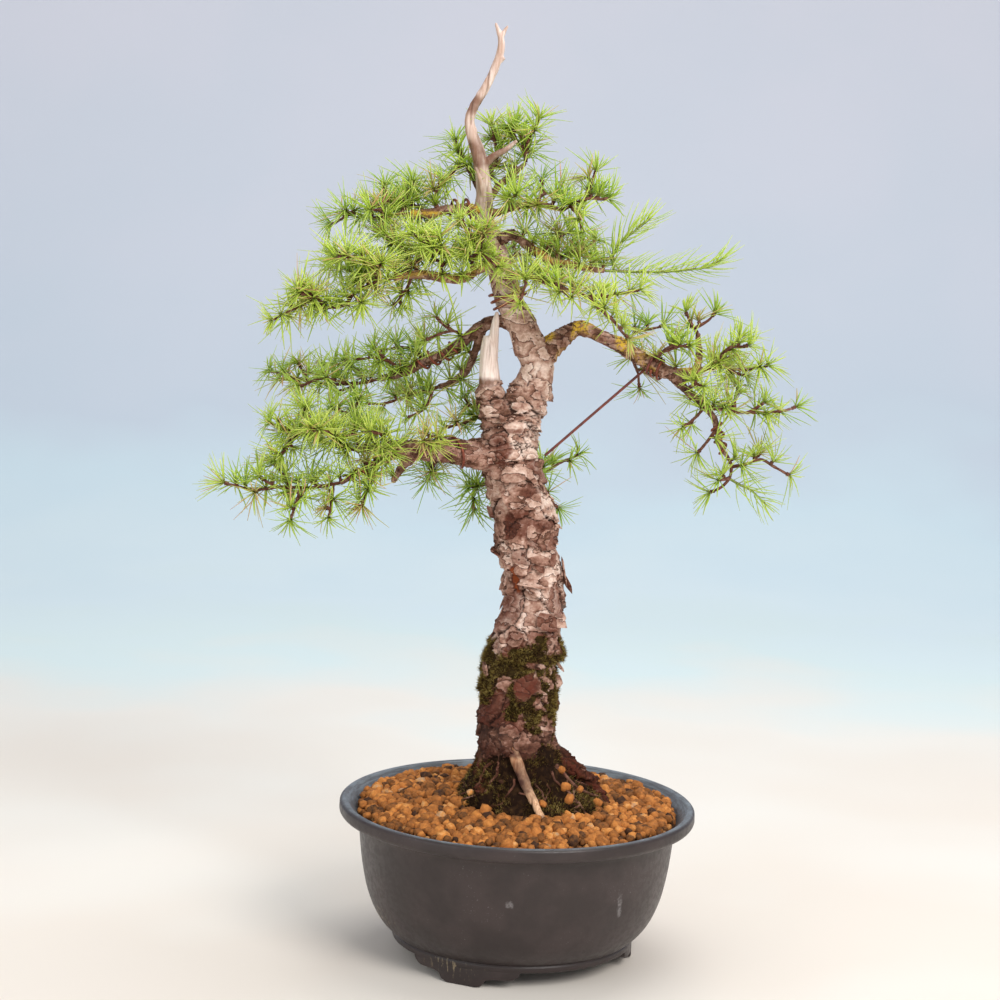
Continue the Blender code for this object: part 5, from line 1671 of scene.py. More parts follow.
@dataclass
class Soil:
    """The clay granules: a plain bed with two layers of loose grains on it."""

    seed: int = 31
    spacing: float = 5.5
    wall: float = 101.6
    tight: float = 97.0
    mound: Triple = (10.0, -8.0, 44.0)
    # Layers of grains: grid shift, lift over the bed, and painted shade that darkens the lower layer.
    layers: tuple[Triple, ...] = ((0.0, -1.6, 0.3), (0.33, 0.9, 0.0))
    bed: tuple[Triple, ...] = (
        (1.0, 17.5, 0.2), (73.4, 17.5, 2.0), (87.4, 35.2, 7.0), (94.4, 60.0, 6.0), (98.4, 88.0, 3.0),
        (103.6, 94.2, 1.0), (100.0, 94.6, 1.0), (80.0, 97.4, 4.0), (55.0, 100.2, 4.0), (30.0, 102.0, 4.0),
        (1.0, 103.0, 0.2),
    )

    def sites(self, rng: np.random.Generator, shift: float) -> Array:
        """Places in plan on a shaken triangular grid, inside the pot and off the root base.

        Args:
            rng: The source of random numbers.
            shift: How far the grid is moved, in cells.

        Returns:
            Rows of x and y.
        """
        count = int(210 / self.spacing) + 2
        column, row = np.meshgrid(np.arange(count), np.arange(int(count / 0.87) + 1))
        x = (column + 0.5 * (row % 2) + shift) * self.spacing - 106.0
        y = (row + shift) * self.spacing * 0.87 - 106.0
        plan = np.column_stack([x.ravel(), y.ravel()]) + rng.uniform(-1.7, 1.7, (x.size, 2))
        from_mound = np.hypot(plan[:, 0] - self.mound[0], plan[:, 1] - self.mound[1])
        clear = from_mound > self.mound[2] + rng.uniform(-4.0, 4.0, len(plan))
        return plan[(np.hypot(*plan.T) < self.wall) & clear]

    def layer(self, rng: np.random.Generator, shift: float, lift: float, depth_shade: float) -> Shape:
        """One layer of grains at a height over the bed: they are small where the pot's wall is near.

        Args:
            rng: The source of random numbers.
            shift: How far its grid is moved, in cells.
            lift: Its height over the bed.
            depth_shade: How much painted shade darkens it, from 0 to 1.

        Returns:
            The grains.
        """
        plan = self.sites(rng, shift)
        sizes = np.clip(rng.normal(3.3, 0.75, len(plan)), 1.8, 4.9)
        sizes = np.where(np.hypot(*plan.T) > self.tight, np.minimum(sizes, 2.9), sizes)
        height = soil_height(*plan.T) + lift + rng.uniform(-1.2, 1.2, len(plan))
        height += 1.3 * noise(np.column_stack([plan, np.zeros(len(plan))]), 0.05, 33)
        tones = np.clip(rng.normal(0.46, 0.24, len(plan)), 0.0, 0.97)
        return granules(np.column_stack([plan, height]), sizes, tones, np.full(len(plan), depth_shade), rng)

    def build(self, material: Material) -> bpy.types.Object:
        """Builds the soil.

        Args:
            material: Its finish.

        Returns:
            The soil.
        """
        rng = np.random.default_rng(self.seed)
        bed = outward(lathe_shape(rounded_line(np.array(self.bed), 3), 96))
        # Painted shade: the bed under the grains is darkened.
        bed.mark("grain", 0.2, 0.85, 0.0)
        made = join_shapes([bed, *(self.layer(rng, *row) for row in self.layers)])
        return settle(made.to_object("akadama_soil", material), "akadama", "soil")


def near_routes(points: Array, routes: dict[str, Route]) -> tuple[Array, Array]:
    """For each point, the radius of the nearest route there and which route it is.

    The nearest is the row with the least distance less its radius.

    Args:
        points: Places in millimetres.
        routes: Routes by name.

    Returns:
        The radius, and the route's number.
    """
    rows = [traced(route, 2.0) for route in routes.values()]
    owner = np.concatenate([np.full(len(row), index) for index, row in enumerate(rows)])
    table = np.vstack(rows)
    best = np.empty(len(points), int)
    for start in range(0, len(points), 4000):
        part = points[start : start + 4000]
        apart = np.linalg.norm(part[:, None, :] - table[None, :, :3], axis=2) - table[None, :, 3]
        best[start : start + 4000] = np.argmin(apart, axis=1)
    return table[best, 3], owner[best]


def trunk_angle(points: Array) -> Array:
    """The angle round the trunk's middle in degrees: 0 is right and -90 is the front.

    Args:
        points: Places in millimetres.

    Returns:
        An angle for each place.
    """
    rows = traced(TRUNK, 2.0)
    x, y = (points[:, axis] - np.interp(points[:, 2], rows[:, 2], rows[:, axis]) for axis in (0, 1))
    return np.degrees(np.arctan2(y, x))


@dataclass
class Bark:
    """The relief and cover of thick bark, in three sizes of overlapping plates.

    Places on it are given by height in millimetres and by angle in degrees, with -90 at the front.
    """

    big: float = 17.0
    middle: float = 8.0
    small: float = 3.6
    red_patches: tuple[tuple[float, float, float, float, float], ...] = (
        (252.0, -128.0, 8.0, 13.0, 1.0), (242.0, -125.0, 6.0, 13.0, 1.0),
        (181.0, -84.0, 10.0, 20.0, 0.86), (286.0, -102.0, 14.0, 26.0, 0.7),
        (329.0, -112.0, 9.0, 22.0, 0.75), (305.0, -60.0, 5.0, 22.0, 0.5), (206.0, -112.0, 7.0, 20.0, 0.7),
    )

    def patches(self, points: Array, angle: Array) -> Array:
        """How much each point lies in a patch of red bark, given by height, angle, reach and share.

        Args:
            points: Places on the trunk.
            angle: Their angles in degrees.

        Returns:
            A share from 0 to 1 for each place.
        """
        total = np.zeros(len(points))
        wobble = 0.75 * fractal(points, 0.16, 4, 51)
        for height, middle, tall, wide, share in self.red_patches:
            away = np.hypot((points[:, 2] - height) / tall, ((angle - middle + 180) % 360 - 180) / wide)
            total = np.maximum(total, share * fade(0.7, 1.1, away + wobble))
        return total

    def mossy(self, points: Array, angle: Array) -> Array:
        """The band of moss over the trunk's foot: its left part begins higher up.

        Args:
            points: Places on the trunk.
            angle: Their angles in degrees.

        Returns:
            A share from 0 to 1 for each place.
        """
        wobble = 11.0 * noise(points, 0.08, 71) + 5.0 * noise(points, 0.25, 73)
        height = points[:, 2] + wobble
        turn = angle + 22.0 * noise(points, 0.07, 75)
        left = np.maximum(ease(-104.0, -122.0, angle), ease(110.0, 150.0, turn))
        band = ease(148.0, 156.0, height - 22.0 * left) * fade(200.0, 208.0, height)
        band *= ease(-0.42, -0.18, fractal(points, 0.1, 3, 79))
        return band * (ease(10.0, -20.0, turn) + ease(60.0, 100.0, turn))

    def apply(self, wood: Shape) -> Shape:
        """Raises plates on the trunk's skin and writes what covers it.

        A point moves along its normal by the heights of its three plates, of which the two finer
        ones count more where the bark is broken, plus terraces and fine noise.

        Args:
            wood: The trunk's smooth skin.

        Returns:
            The skin with its bark.
        """
        points = wood.points
        z = points[:, 2]
        angle = trunk_angle(points)
        red = self.patches(points, angle)
        broken = ease(-0.25, 0.6, noise(points, 0.05, 41) - 0.5 * red)
        broken = np.maximum(broken, fade(120.0, 150.0, z))
        warped = points + 4.5 * drift(points, 0.045, 11) + 1.6 * drift(points, 0.17, 14)
        warped += 0.6 * drift(points, 0.6, 17)
        warped[:, 2] += 1.1 * np.clip(z - 316.0, 0.0, 56.0)
        height, gap = np.zeros((2, len(points)))
        keys = []
        for size, level, tilt, share, seed in (
            (self.big, 2.0, 2.7, 1.0, 21),
            (self.middle, 1.2, 1.6, 0.15 + 0.85 * broken, 31),
            (self.small, 0.5, 0.5, 0.1 + 0.6 * broken, 35),
        ):
            cells = irregular_cells(warped, (size, size, size * 1.15), seed)
            rise, low = shingles(cells, size, level, tilt)
            height += rise * share
            gap = np.maximum(gap, low * share)
            keys.append(cells.key)
        rough = belt(z, (312.0, 322.0), (362.0, 374.0))
        ridges = noise(points * np.array((0.5, 0.5, 1.5)), 0.2, 63)
        levels = 2.9 * fractal(points * np.array((1.0, 1.0, 1.7)), 0.045, 4, 65)
        part = levels - np.floor(levels)
        height += 1.2 * (ease(0.0, 0.3, part) - part)
        height += (0.3 + 0.5 * rough) * fractal(points, 0.4, 3, 61) + 0.9 * rough * ridges - 0.5 * red
        strength = 1.0 - 0.75 * ease(364.0, 392.0, z)
        moved = Shape(points + wood.normals() * (height * strength)[:, None], wood.faces)

        low = fade(126.0, 150.0, z)
        moss = np.clip(self.mossy(points, angle) * (1.0 - 1.3 * red * (z < 200.0)), 0.0, 1.0)
        red = np.maximum(red, 0.6 * ease(0.8, 0.82, keys[0]) * (1.0 - 0.6 * broken) * (z < 345.0))
        red = np.maximum(red, 0.75 * low * ease(-0.4, 0.3, noise(points, 0.09, 77)))
        # Painted light: the front right of the trunk, towards the key light, is lighter.
        tone = 0.53 + 0.12 * ease(-0.3, 0.5, np.cos(np.radians(angle + 50.0)))
        tone += 0.3 * (keys[0] - 0.5) + (0.08 + 0.2 * broken) * (keys[1] - 0.5) + 0.1 * (keys[2] - 0.5)
        tone += 0.16 * noise(points, 0.06, 67) + 0.2 * (part - 0.5) - 0.42 * red - 0.12 * low
        tone += 0.12 * belt(z, (272.0, 300.0), (345.0, 365.0)) - 0.34 * fade(140.0, 225.0, z)
        tone += 0.08 * ease(345.0, 385.0, z) - 0.08 * broken
        # Painted shade: the left side is darker between about 285 and 365 mm.
        tone -= 0.16 * belt(z, (285.0, 310.0), (345.0, 365.0)) * ease(-80.0, -120.0, angle)
        # The first relief value is painted shadow in the gaps between plates.
        moved.mark("relief", gap * np.clip(strength + 0.1, 0.0, 1.0), tone, 1.0)
        moved.mark("cover", np.maximum(moss, 0.3 * low), red, 0.0)
        return moved


@dataclass
class BarkFlakes:
    """Thin curled plates that stand off the trunk: some listed one by one, the rest scattered."""

    seed: int = 77
    count: int = 44
    sides: int = 9
    rings: tuple[tuple[float, float], ...] = (
        (0.0, 0.8), (0.75, 0.75), (1.0, 0.1), (0.75, -0.5), (0.0, -0.6),
    )
    chosen: tuple[tuple[float, float, float, float, float], ...] = (
        (284.0, -4.0, 11.0, 8.0, 1.6), (253.0, -2.0, 20.0, 8.0, 2.2), (246.0, 2.0, 22.0, 6.0, 2.0),
        (221.0, -3.0, 12.0, 8.0, 2.0), (192.0, -2.0, 17.0, 9.0, 3.4), (182.0, -8.0, 12.0, 9.0, 2.4),
        (276.0, -50.0, 18.0, 12.0, 1.6), (300.0, -62.0, 13.0, 15.0, 1.8), (236.0, 178.0, 24.0, 6.0, 1.8),
        (211.0, 176.0, 20.0, 8.0, 2.0), (224.0, -172.0, 12.0, 7.0, 3.4), (209.0, -110.0, 9.0, 14.0, 2.4),
        (247.0, -84.0, 9.0, 24.0, 2.2), (222.0, -62.0, 13.0, 18.0, 2.4), (190.0, -150.0, 12.0, 9.0, 1.8),
        (168.0, -165.0, 16.0, 8.0, 1.6), (315.0, -90.0, 10.0, 20.0, 2.2), (262.0, -70.0, 8.0, 16.0, 1.2),
    )

    def place_by_angle(self, tree: BVHTree, height: float, angle: float) -> tuple[Array, Array]:
        """The trunk's surface and normal at a height and an angle, found by a ray from outside.

        Args:
            tree: The trunk's skin.
            height: The height.
            angle: The angle in degrees.

        Returns:
            The place and the normal there.
        """
        rows = smooth_route(TRUNK, 2.0)
        middle = [float(np.interp(height, rows[:, 2], rows[:, axis])) for axis in (0, 1)]
        way = np.array((math.cos(math.radians(angle)), math.sin(math.radians(angle)), 0.0))
        start = np.array((*middle, height)) + way * 60.0
        spot, normal, _, _ = tree.ray_cast(Vector(start), Vector(-way))
        if spot is None:
            return start - way * 42.0, way
        return np.array(spot), np.array(normal)

    def plates(
        self, spots: Array, outs: Array, sizes: Array, lifts: Array, rng: np.random.Generator
    ) -> Shape:
        """Many flakes at once: each is a closed thin lens with a ragged outline, bent outwards.

        Args:
            spots: Places on the bark.
            outs: The bark's normals there.
            sizes: Height and width of each flake.
            lifts: How far its lower edge stands off, in millimetres.
            rng: The source of random numbers.

        Returns:
            The flakes.
        """
        n = self.sides
        count = len(spots)
        side = unit(np.cross(UP, outs) + rng.normal(0.0, 0.12, outs.shape))
        up = np.cross(outs, side)
        angle = ring_angles(n)[None, :] + rng.uniform(-0.2, 0.2, (count, n))
        square = 1.0 / np.maximum(np.abs(np.cos(angle)), np.abs(np.sin(angle))) ** 0.7
        edge = square * rng.uniform(0.7, 1.1, (count, n))
        rings = []
        for share, thick in self.rings:
            u = share * edge * np.cos(angle) * sizes[:, 1:2] * 0.5
            v = share * edge * np.sin(angle) * sizes[:, 0:1] * 0.5
            slope = 0.5 - v / sizes[:, 0:1]
            off = lifts[:, None] * slope**1.6 + 0.25 - 0.016 * u**2 + thick
            ring = spots[:, None] + u[..., None] * side[:, None] + v[..., None] * up[:, None]
            ring = ring + off[..., None] * outs[:, None]
            rings.append(ring.mean(axis=1, keepdims=True) if share == 0.0 else ring)
        points = np.concatenate(rings, axis=1)
        turn = np.arange(n)
        after = (turn + 1) % n
        fans = ((0, 1 + turn, 1 + after), (3 * n + 1, 2 * n + 1 + after, 2 * n + 1 + turn))
        bands = ((low + turn, low + n + turn, low + n + after, low + after) for low in (1, n + 1))
        offset = np.arange(count)[:, None, None] * points.shape[1]
        faces = []
        for rows in (bands, fans):
            numbers = np.vstack([np.stack(np.broadcast_arrays(*row), axis=1) for row in rows])
            faces.append((numbers[None] + offset).reshape(-1, numbers.shape[1]))
        made = Shape(points.reshape(-1, 3), faces)
        key = np.repeat(rng.random(count), points.shape[1])
        low = np.repeat(fade(128.0, 200.0, spots[:, 2]), points.shape[1])
        made.mark("relief", 0.0, 0.38 + 0.22 * key - 0.16 * low, 1.0)
        made.mark("cover", low * 0.4, 0.5 * (key < 0.15), 0.0)
        return outward(made)

    def build(self, trunk: Shape, material: Material) -> bpy.types.Object:
        """Builds the flakes on the trunk's finished skin.

        Args:
            trunk: The trunk's skin with its bark.
            material: The finish.

        Returns:
            The flakes.
        """
        rng = np.random.default_rng(self.seed)
        tree = BVHTree.FromPolygons(trunk.points.tolist(), trunk.triangles().tolist())
        by_hand = [self.place_by_angle(tree, height, angle) for height, angle, *_ in self.chosen]
        chance = belt(trunk.points[:, 2], (204.0, 216.0), (318.0, 345.0))
        scattered = scatter_on(trunk, self.count, chance + 0.002, rng)
        pairs = zip(zip(*by_hand), scattered)
        spots, outs = (np.vstack([np.array(first), second]) for first, second in pairs)
        table = np.array(self.chosen)
        sizes = np.vstack([table[:, 2:4], rng.uniform((5.0, 5.0), (13.0, 11.0), (self.count, 2))])
        lifts = np.concatenate([table[:, 4], rng.uniform(0.3, 1.5, self.count)])
        flakes = self.plates(spots, unit(outs), sizes, lifts, rng)
        return settle(flakes.to_object("bark_flakes", material, smooth=False), "larch_wood")


@dataclass
class LivingWood:
    """Trunk, limbs and roots under bark."""

    trunk_voxel: float = 0.95
    limb_voxel: float = 0.9
    sides: int = 40
    collars: tuple[tuple[str, float, float], ...] = (
        ("left_low", 24.0, 1.08), ("right_main", 20.0, 1.1), ("left_middle", 12.0, 1.2),
        ("left_upper", 8.0, 1.2), ("left_top", 6.0, 1.15), ("right_second", 6.0, 1.15),
        ("right_second_low", 7.0, 1.2), ("back_upper", 8.0, 1.2), ("back_low", 10.0, 1.2),
        ("wire_snag", 4.0, 1.1),
    )
    root_knob: Route = ((-12, -12, 162, 5.4), (-9, -19, 154, 6.2), (-6, -24, 146, 5.6), (-4, -26.5, 140, 4.4))
    lichen_on: tuple[tuple[str, float], ...] = (
        ("left_top", 1.0), ("right_main", 1.0), ("right_main_peg", 1.0), ("left_upper", 0.5),
        ("right_top", 0.4), ("right_second", 0.6), ("left_low_snag", 0.4),
    )

    def collar(self, name: str, length: float, swell: float) -> Shape:
        """The thick start of a limb, which sinks into the limb where it ends.

        Args:
            name: The limb.
            length: How many millimetres of it.
            swell: How much thicker it starts.

        Returns:
            The tube.
        """
        rows = traced(LIMBS[name], 1.0)[: max(4, int(length))]
        rows[:, 3] *= swell + (0.72 - swell) * np.linspace(0.0, 1.0, len(rows)) ** 1.5
        return tube_shape(rows, 24)

    def build_trunk(self) -> Shape:
        """The trunk's skin with its roots and the collars of its limbs.

        Returns:
            The skin.
        """
        tubes = [tube_shape(traced(TRUNK, 2.0), self.sides), tube_shape(traced(STUB_ROOT, 2.0), 28)]
        tubes += [tube_shape(traced(route, 2.0), 20) for route in ROOTS.values()]
        tubes += [self.collar(*row) for row in self.collars]
        tubes.append(tube_shape(traced(self.root_knob, 1.0), 20))
        return Bark().apply(fused(tubes, self.trunk_voxel, 4))

    def build_limbs(self) -> Shape:
        """All limbs as one skin, knobbly and cracked in proportion to their thickness.

        Returns:
            The skin.
        """
        tubes = []
        for route in LIMBS.values():
            rows = traced(route, 1.0)
            wander = 0.35 * drift(rows[:, :3], 0.12, 81)
            rows[:, :3] += wander * ease(3.0, 9.0, lengths_along(rows))[:, None]
            rows[:, 3] *= 1.0 + 0.12 * noise(rows[:, :3], 0.16, 85)
            tubes.append(tube_shape(rows, 18))
        skin = fused(tubes, self.limb_voxel, 2)
        points = skin.points
        radius, owner = near_routes(points, LIMBS)
        normals = skin.normals()
        cells = irregular_cells(points + 1.4 * drift(points, 0.2, 91), (4.6, 4.6, 4.2), 95)
        rise, gap = shingles(cells, 4.5, 0.6, 0.5)
        height = np.clip(radius / 6.0, 0.3, 1.4) * (rise + 0.55 * fractal(points, 0.3, 3, 99))
        share = np.zeros(len(points))
        for name, amount in self.lichen_on:
            share = np.where(owner == list(LIMBS).index(name), amount, share)
        patchy = ease(-0.25, 0.15, noise(points, 0.11, 104)) * ease(-0.8, 0.1, normals[:, 2])
        height += 0.25 * share * patchy * ease(0.0, 0.5, noise(points, 0.8, 105))
        made = Shape(points + normals * height[:, None], skin.faces)
        # The first relief value is painted shadow in the gaps between plates.
        made.mark("relief", gap * 0.8, 0.28 + 0.3 * cells.key, np.clip((radius - 1.6) / 3.5, 0.1, 1.0))
        made.mark("cover", 0.0, 0.4 * (cells.key > 0.85), share * patchy)
        return made


@dataclass(frozen=True)
class Grain:
    """How dead wood is carved: a seed, noise cells in a millimetre, a tan part and dark stains.

    The wood turns tan from the first height of tan to its second, by its third number. A stain is
    a height and a reach.
    """

    seed: int
    run: Triple
    tan: Triple
    stains: tuple[tuple[float, float], ...]


@dataclass
class DeadWood:
    """The bleached jin at the tip, the split stub, and the peeled root at the front."""

    voxel: float = 0.62
    groove: float = 0.34
    sides: int = 20
    root_start: tuple[float, ...] = (-9, -11, 156, 4.0)
    tips: Grain = Grain(
        121, (0.75, 0.75, 0.045), (430.0, 450.0, 0.55),
        ((462.0, 7.0), (514.0, 11.0), (545.0, 6.0), (371.0, 4.0)),
    )
    root: Grain = Grain(
        133, (0.8, 0.3, 0.12), (124.0, 134.0, 0.8), ((126.0, 9.0), (140.0, 3.0), (103.0, 2.5)),
    )

    def carve(self, tubes: list[Shape], grain: Grain) -> Shape:
        """Cuts grooves along the grain: the skin sinks where noise, drawn out along it, is low.

        Args:
            tubes: The wood's rough form.
            grain: How it is carved.

        Returns:
            The carved skin.
        """
        skin = fused(tubes, self.voxel, 1)
        points = skin.points
        outs = skin.normals()
        seed = grain.seed
        drawn = points * np.array(grain.run)
        split = ease(0.4, 0.7, noise(drawn * 0.55, 1.0, seed + 3))
        height = 0.55 * noise(drawn, 1.0, seed) + 0.3 * noise(drawn * 2.1, 1.0, seed + 5)
        height = self.groove * height - 1.6 * self.groove * split + 0.12 * fractal(points, 0.4, 2, seed + 7)
        stain = np.zeros(len(points))
        ragged = 0.4 * noise(points, 0.2, seed)
        for middle, reach in grain.stains:
            stain = np.maximum(stain, fade(0.4, 1.3, np.abs(points[:, 2] - middle) / reach + ragged))
        # Painted shade: stains are darker where the wood faces left, away from the key light.
        stain *= 0.75 + 0.25 * ease(-0.4, 0.5, 0.5 * noise(points, 0.15, seed + 2) - outs[:, 0])
        low, high, most = grain.tan
        # The tan part, with painted shade: more of it where the wood faces left.
        tan_and_left_shade = ease(low, high, points[:, 2]) * most
        tan_and_left_shade = tan_and_left_shade * (1.0 + 0.9 * noise(drawn * 1.3, 1.0, seed + 9) - 0.5 * outs[:, 0])
        made = Shape(points + outs * height[:, None], skin.faces)
        made.mark("wood", split, stain, np.clip(tan_and_left_shade, 0.0, 1.0))
        return made

    def build_tips(self, material: Material) -> bpy.types.Object:
        """The jin and the stub as one piece."""
        tubes = [tube_shape(traced(route, 1.0), self.sides) for route in DEADWOOD.values()]
        return settle(self.carve(tubes, self.tips).to_object("bleached_wood", material), "larch_wood", "tree")

    def build_root(self, material: Material) -> bpy.types.Object:
        """The peeled front root.

        Args:
            material: Its finish.

        Returns:
            The root.
        """
        rows = traced((self.root_start, *FRONT_ROOT[1:]), 1.0)
        rows[:, 3] *= 0.94 + 0.16 * noise(rows[:, :3], 0.12, 131)
        shape = self.carve([tube_shape(rows, self.sides)], self.root)
        return settle(shape.to_object("peeled_root", material), "larch_wood")


@dataclass
class RootMound:
    """The dark mossy mound that the trunk stands on, with roots, tufts of moss and stray grains."""

    sides: int = 176
    rings: int = 56
    levels: tuple[tuple[float, float], ...] = (
        (50.0, 90.0), (50.0, 98.0), (48.5, 103.0), (44.5, 108.0), (38.5, 115.0), (31.0, 124.0),
        (24.5, 136.0), (17.0, 143.0),
    )
    centre: tuple[float, float] = (10.0, -8.0)
    main_roots: tuple[tuple[float, float, float, float, float], ...] = (
        (-120.0, -152.0, 130.0, 105.0, 1.2), (-104.0, -128.0, 124.0, 103.0, 1.0),
        (-132.0, -170.0, 132.0, 104.0, 1.4), (-82.0, -57.0, 122.0, 101.0, 0.9),
        (-92.0, -70.0, 117.0, 112.0, 0.8), (-58.0, -38.0, 128.0, 102.0, 1.1),
        (-40.0, -8.0, 131.0, 103.0, 1.7), (-20.0, 14.0, 126.0, 102.0, 1.2),
        (60.0, 38.0, 130.0, 102.0, 2.2), (130.0, 150.0, 128.0, 102.0, 2.0),
    )
    seed: int = 5
    rootlets: int = 26
    tufts: int = 32000
    grain_spots: tuple[Triple, ...] = (
        (-38.0, 128.0, 3.2), (-48.0, 119.0, 3.4), (-53.0, 113.0, 3.6), (-76.0, 112.0, 2.8),
        (-30.0, 116.0, 3.0), (-22.0, 108.0, 3.2), (-60.0, 106.0, 2.8), (-150.0, 112.0, 2.6),
        (30.0, 120.0, 3.0), (80.0, 116.0, 3.2), (120.0, 110.0, 3.0), (-8.0, 121.0, 2.6),
    )

    def rows(self) -> Array:
        """Level rings from the soil up: middle, height and radius.

        Returns:
            Rows of x, y, z and radius.
        """
        radius, height = np.array(self.levels).T
        inward = 1.0 - np.clip((np.linspace(0.0, 1.0, len(radius)) - 0.25) / 0.75, 0.0, 1.0)
        x, y = self.centre
        rows = smooth_route(np.column_stack([x * inward, y * inward, height, radius]), 1.0)
        return rows_at(rows, np.linspace(0.0, lengths_along(rows)[-1], self.rings))

    def on_skin(self, angle: Array, height: Array, lift: Array) -> Array:
        """Places on the skin at angles in degrees and heights, moved outwards by a lift.

        Args:
            angle: Angles round the mound, in degrees.
            height: Heights.
            lift: How far each place lies above the skin.

        Returns:
            The places.
        """
        rows = self.rows()
        x, y, radius = (np.interp(height, rows[:, 2], rows[:, axis]) for axis in (0, 1, 3))
        way = np.radians(angle)
        reach = radius + lift
        spots = np.column_stack([x + reach * np.cos(way), y + reach * np.sin(way), height])
        outs = np.column_stack([np.cos(way), np.sin(way), 0.4 + 0.0 * way])
        return spots + outs * self.lumps(spots)[:, None]

    def lumps(self, spots: Array) -> Array:
        """How far the skin stands out at each place: rough, and level where it meets the soil.

        Args:
            spots: Places on the smooth skin.

        Returns:
            Millimetres for each place.
        """
        rough = 4.2 * fractal(spots, 0.06, 3, 141) + 1.5 * fractal(spots, 0.24, 3, 145)
        away = np.hypot(spots[:, 0] - self.centre[0], spots[:, 1] - self.centre[1])
        return rough * np.clip(ease(51.5, 45.0, away) + 0.12, 0.0, 1.0)

    def build_skin(self) -> Shape:
        """The mound's lumpy skin.

        Returns:
            The skin.
        """
        rows = self.rows()
        angle = ring_angles(self.sides)[None, :]
        x = rows[:, 0:1] + rows[:, 3:4] * np.cos(angle)
        y = rows[:, 1:2] + rows[:, 3:4] * np.sin(angle)
        rings = np.stack([x, y, rows[:, 2:3] + 0.0 * angle], axis=2)
        skin = outward(capped(rings, rows[[0, -1], :3]))
        spots = skin.points
        fine = 0.8 * noise(spots, 0.7, 149)
        tone = np.clip(-0.04 + 0.16 * noise(spots, 0.1, 151) + 0.3 * noise(spots, 0.6, 153), 0.0, 0.36)
        made = Shape(spots + skin.normals() * (self.lumps(spots) + fine)[:, None], skin.faces)
        made.mark("grain", tone, tone, tone)
        return made

    def build_roots(self, rng: np.random.Generator) -> Shape:
        """Roots down the mound: those that the photo shows, then finer ones at random.

        Args:
            rng: The source of random numbers.

        Returns:
            The roots.
        """
        table = list(self.main_roots)
        for _ in range(self.rootlets):
            start = rng.uniform(-180.0, 180.0)
            end = start + rng.normal(0.0, 24.0)
            table.append((start, end, *rng.uniform((116.0, 102.0, 0.35), (134.0, 110.0, 0.9))))
        share = np.linspace(0.0, 1.0, 26)
        tubes = []
        for index, (start, end, top, low, thick) in enumerate(table):
            spots = np.stack(np.broadcast_arrays(share * 30.0, index * 9.0, 0.0), axis=1)
            angle = start + (end - start) * share + 6.0 * noise(spots, 0.22, 155)
            height = top + (low - top) * share**0.9
            line = self.on_skin(angle, height, 0.55 * thick + 0.8 * noise(spots, 0.3, 157))
            radius = 0.75 * thick * (1.1 - 0.6 * share) * (1.0 + 0.2 * noise(spots, 0.5, 159))
            tubes.append(tube_shape(np.column_stack([line, radius]), 9))
        made = join_shapes(tubes)
        made.mark("relief", 0.0, 0.26 + 0.4 * noise(made.points, 0.09, 161), 0.75)
        made.mark("cover", 0.22 + 0.6 * noise(made.points, 0.15, 163), 0.25, 0.0)
        return made

    def build_grains(self, rng: np.random.Generator) -> Shape:
        """Loose granules lying on the mound.

        Args:
            rng: The source of random numbers.

        Returns:
            The granules.
        """
        table = np.array(self.grain_spots)
        spots = self.on_skin(table[:, 0], table[:, 1], table[:, 2] * 0.5)
        return granules(spots, table[:, 2], rng.uniform(0.5, 0.95, len(table)), np.zeros(len(table)), rng)

    def build_tufts(self, trunk: Shape, skin: Shape, rng: np.random.Generator) -> Shape:
        """Moss as thousands of small spikes on the mound and on the trunk's mossy band.

        Args:
            trunk: The trunk's skin with its bark.
            skin: The mound's skin.
            rng: The source of random numbers.

        Returns:
            The tufts.
        """
        on_skin = ease(-0.4, 0.25, noise(skin.points, 0.11, 161)) * ease(101.0, 106.0, skin.points[:, 2])
        mossy = ease(0.25, 0.6, trunk.values["cover"][:, 0])
        on_trunk = mossy * ease(-0.8, 0.0, noise(trunk.points, 0.3, 165))
        on_trunk *= ease(140.0, 148.0, trunk.points[:, 2])
        first, first_out = scatter_on(skin, int(self.tufts * 0.5), on_skin + 0.03, rng)
        second, second_out = scatter_on(trunk, self.tufts - len(first), on_trunk + 0.0002, rng)
        starts = np.vstack([first, second])
        outs = np.vstack([first_out, second_out])
        aims = unit(outs + rng.normal(0.0, 0.45, starts.shape) + 0.3 * UP)
        tall = rng.uniform(0.9, 2.8, len(starts)) * 1.35
        tone = np.where(np.arange(len(starts)) >= len(first), 0.66, 0.52)
        tone = tone + 0.4 * noise(starts, 0.12, 169) + rng.normal(0.0, 0.3, len(starts))
        return spikes(starts - aims * 0.3, aims, tall, np.clip(tone, 0.05, 1.0), rng)

    def build(self, trunk: Shape, moss: Material, bark: Material, clay: Material) -> None:
        """Builds the mound, its roots, its stray grains and the moss, which grows up the trunk.

        Args:
            trunk: The trunk's skin with its bark.
            moss: The finish of the moss.
            bark: The finish of the roots.
            clay: The finish of the grains.
        """
        rng = np.random.default_rng(self.seed)
        skin = self.build_skin()
        settle(skin.to_object("root_mound", moss), "larch_wood", "tree")
        settle(self.build_roots(rng).to_object("rootlets", bark), "larch_wood")
        settle(self.build_grains(rng).to_object("stray_granules", clay), "akadama")
        tufts = self.build_tufts(trunk, skin, rng)
        settle(tufts.to_object("moss", moss, smooth=False), "larch_wood")


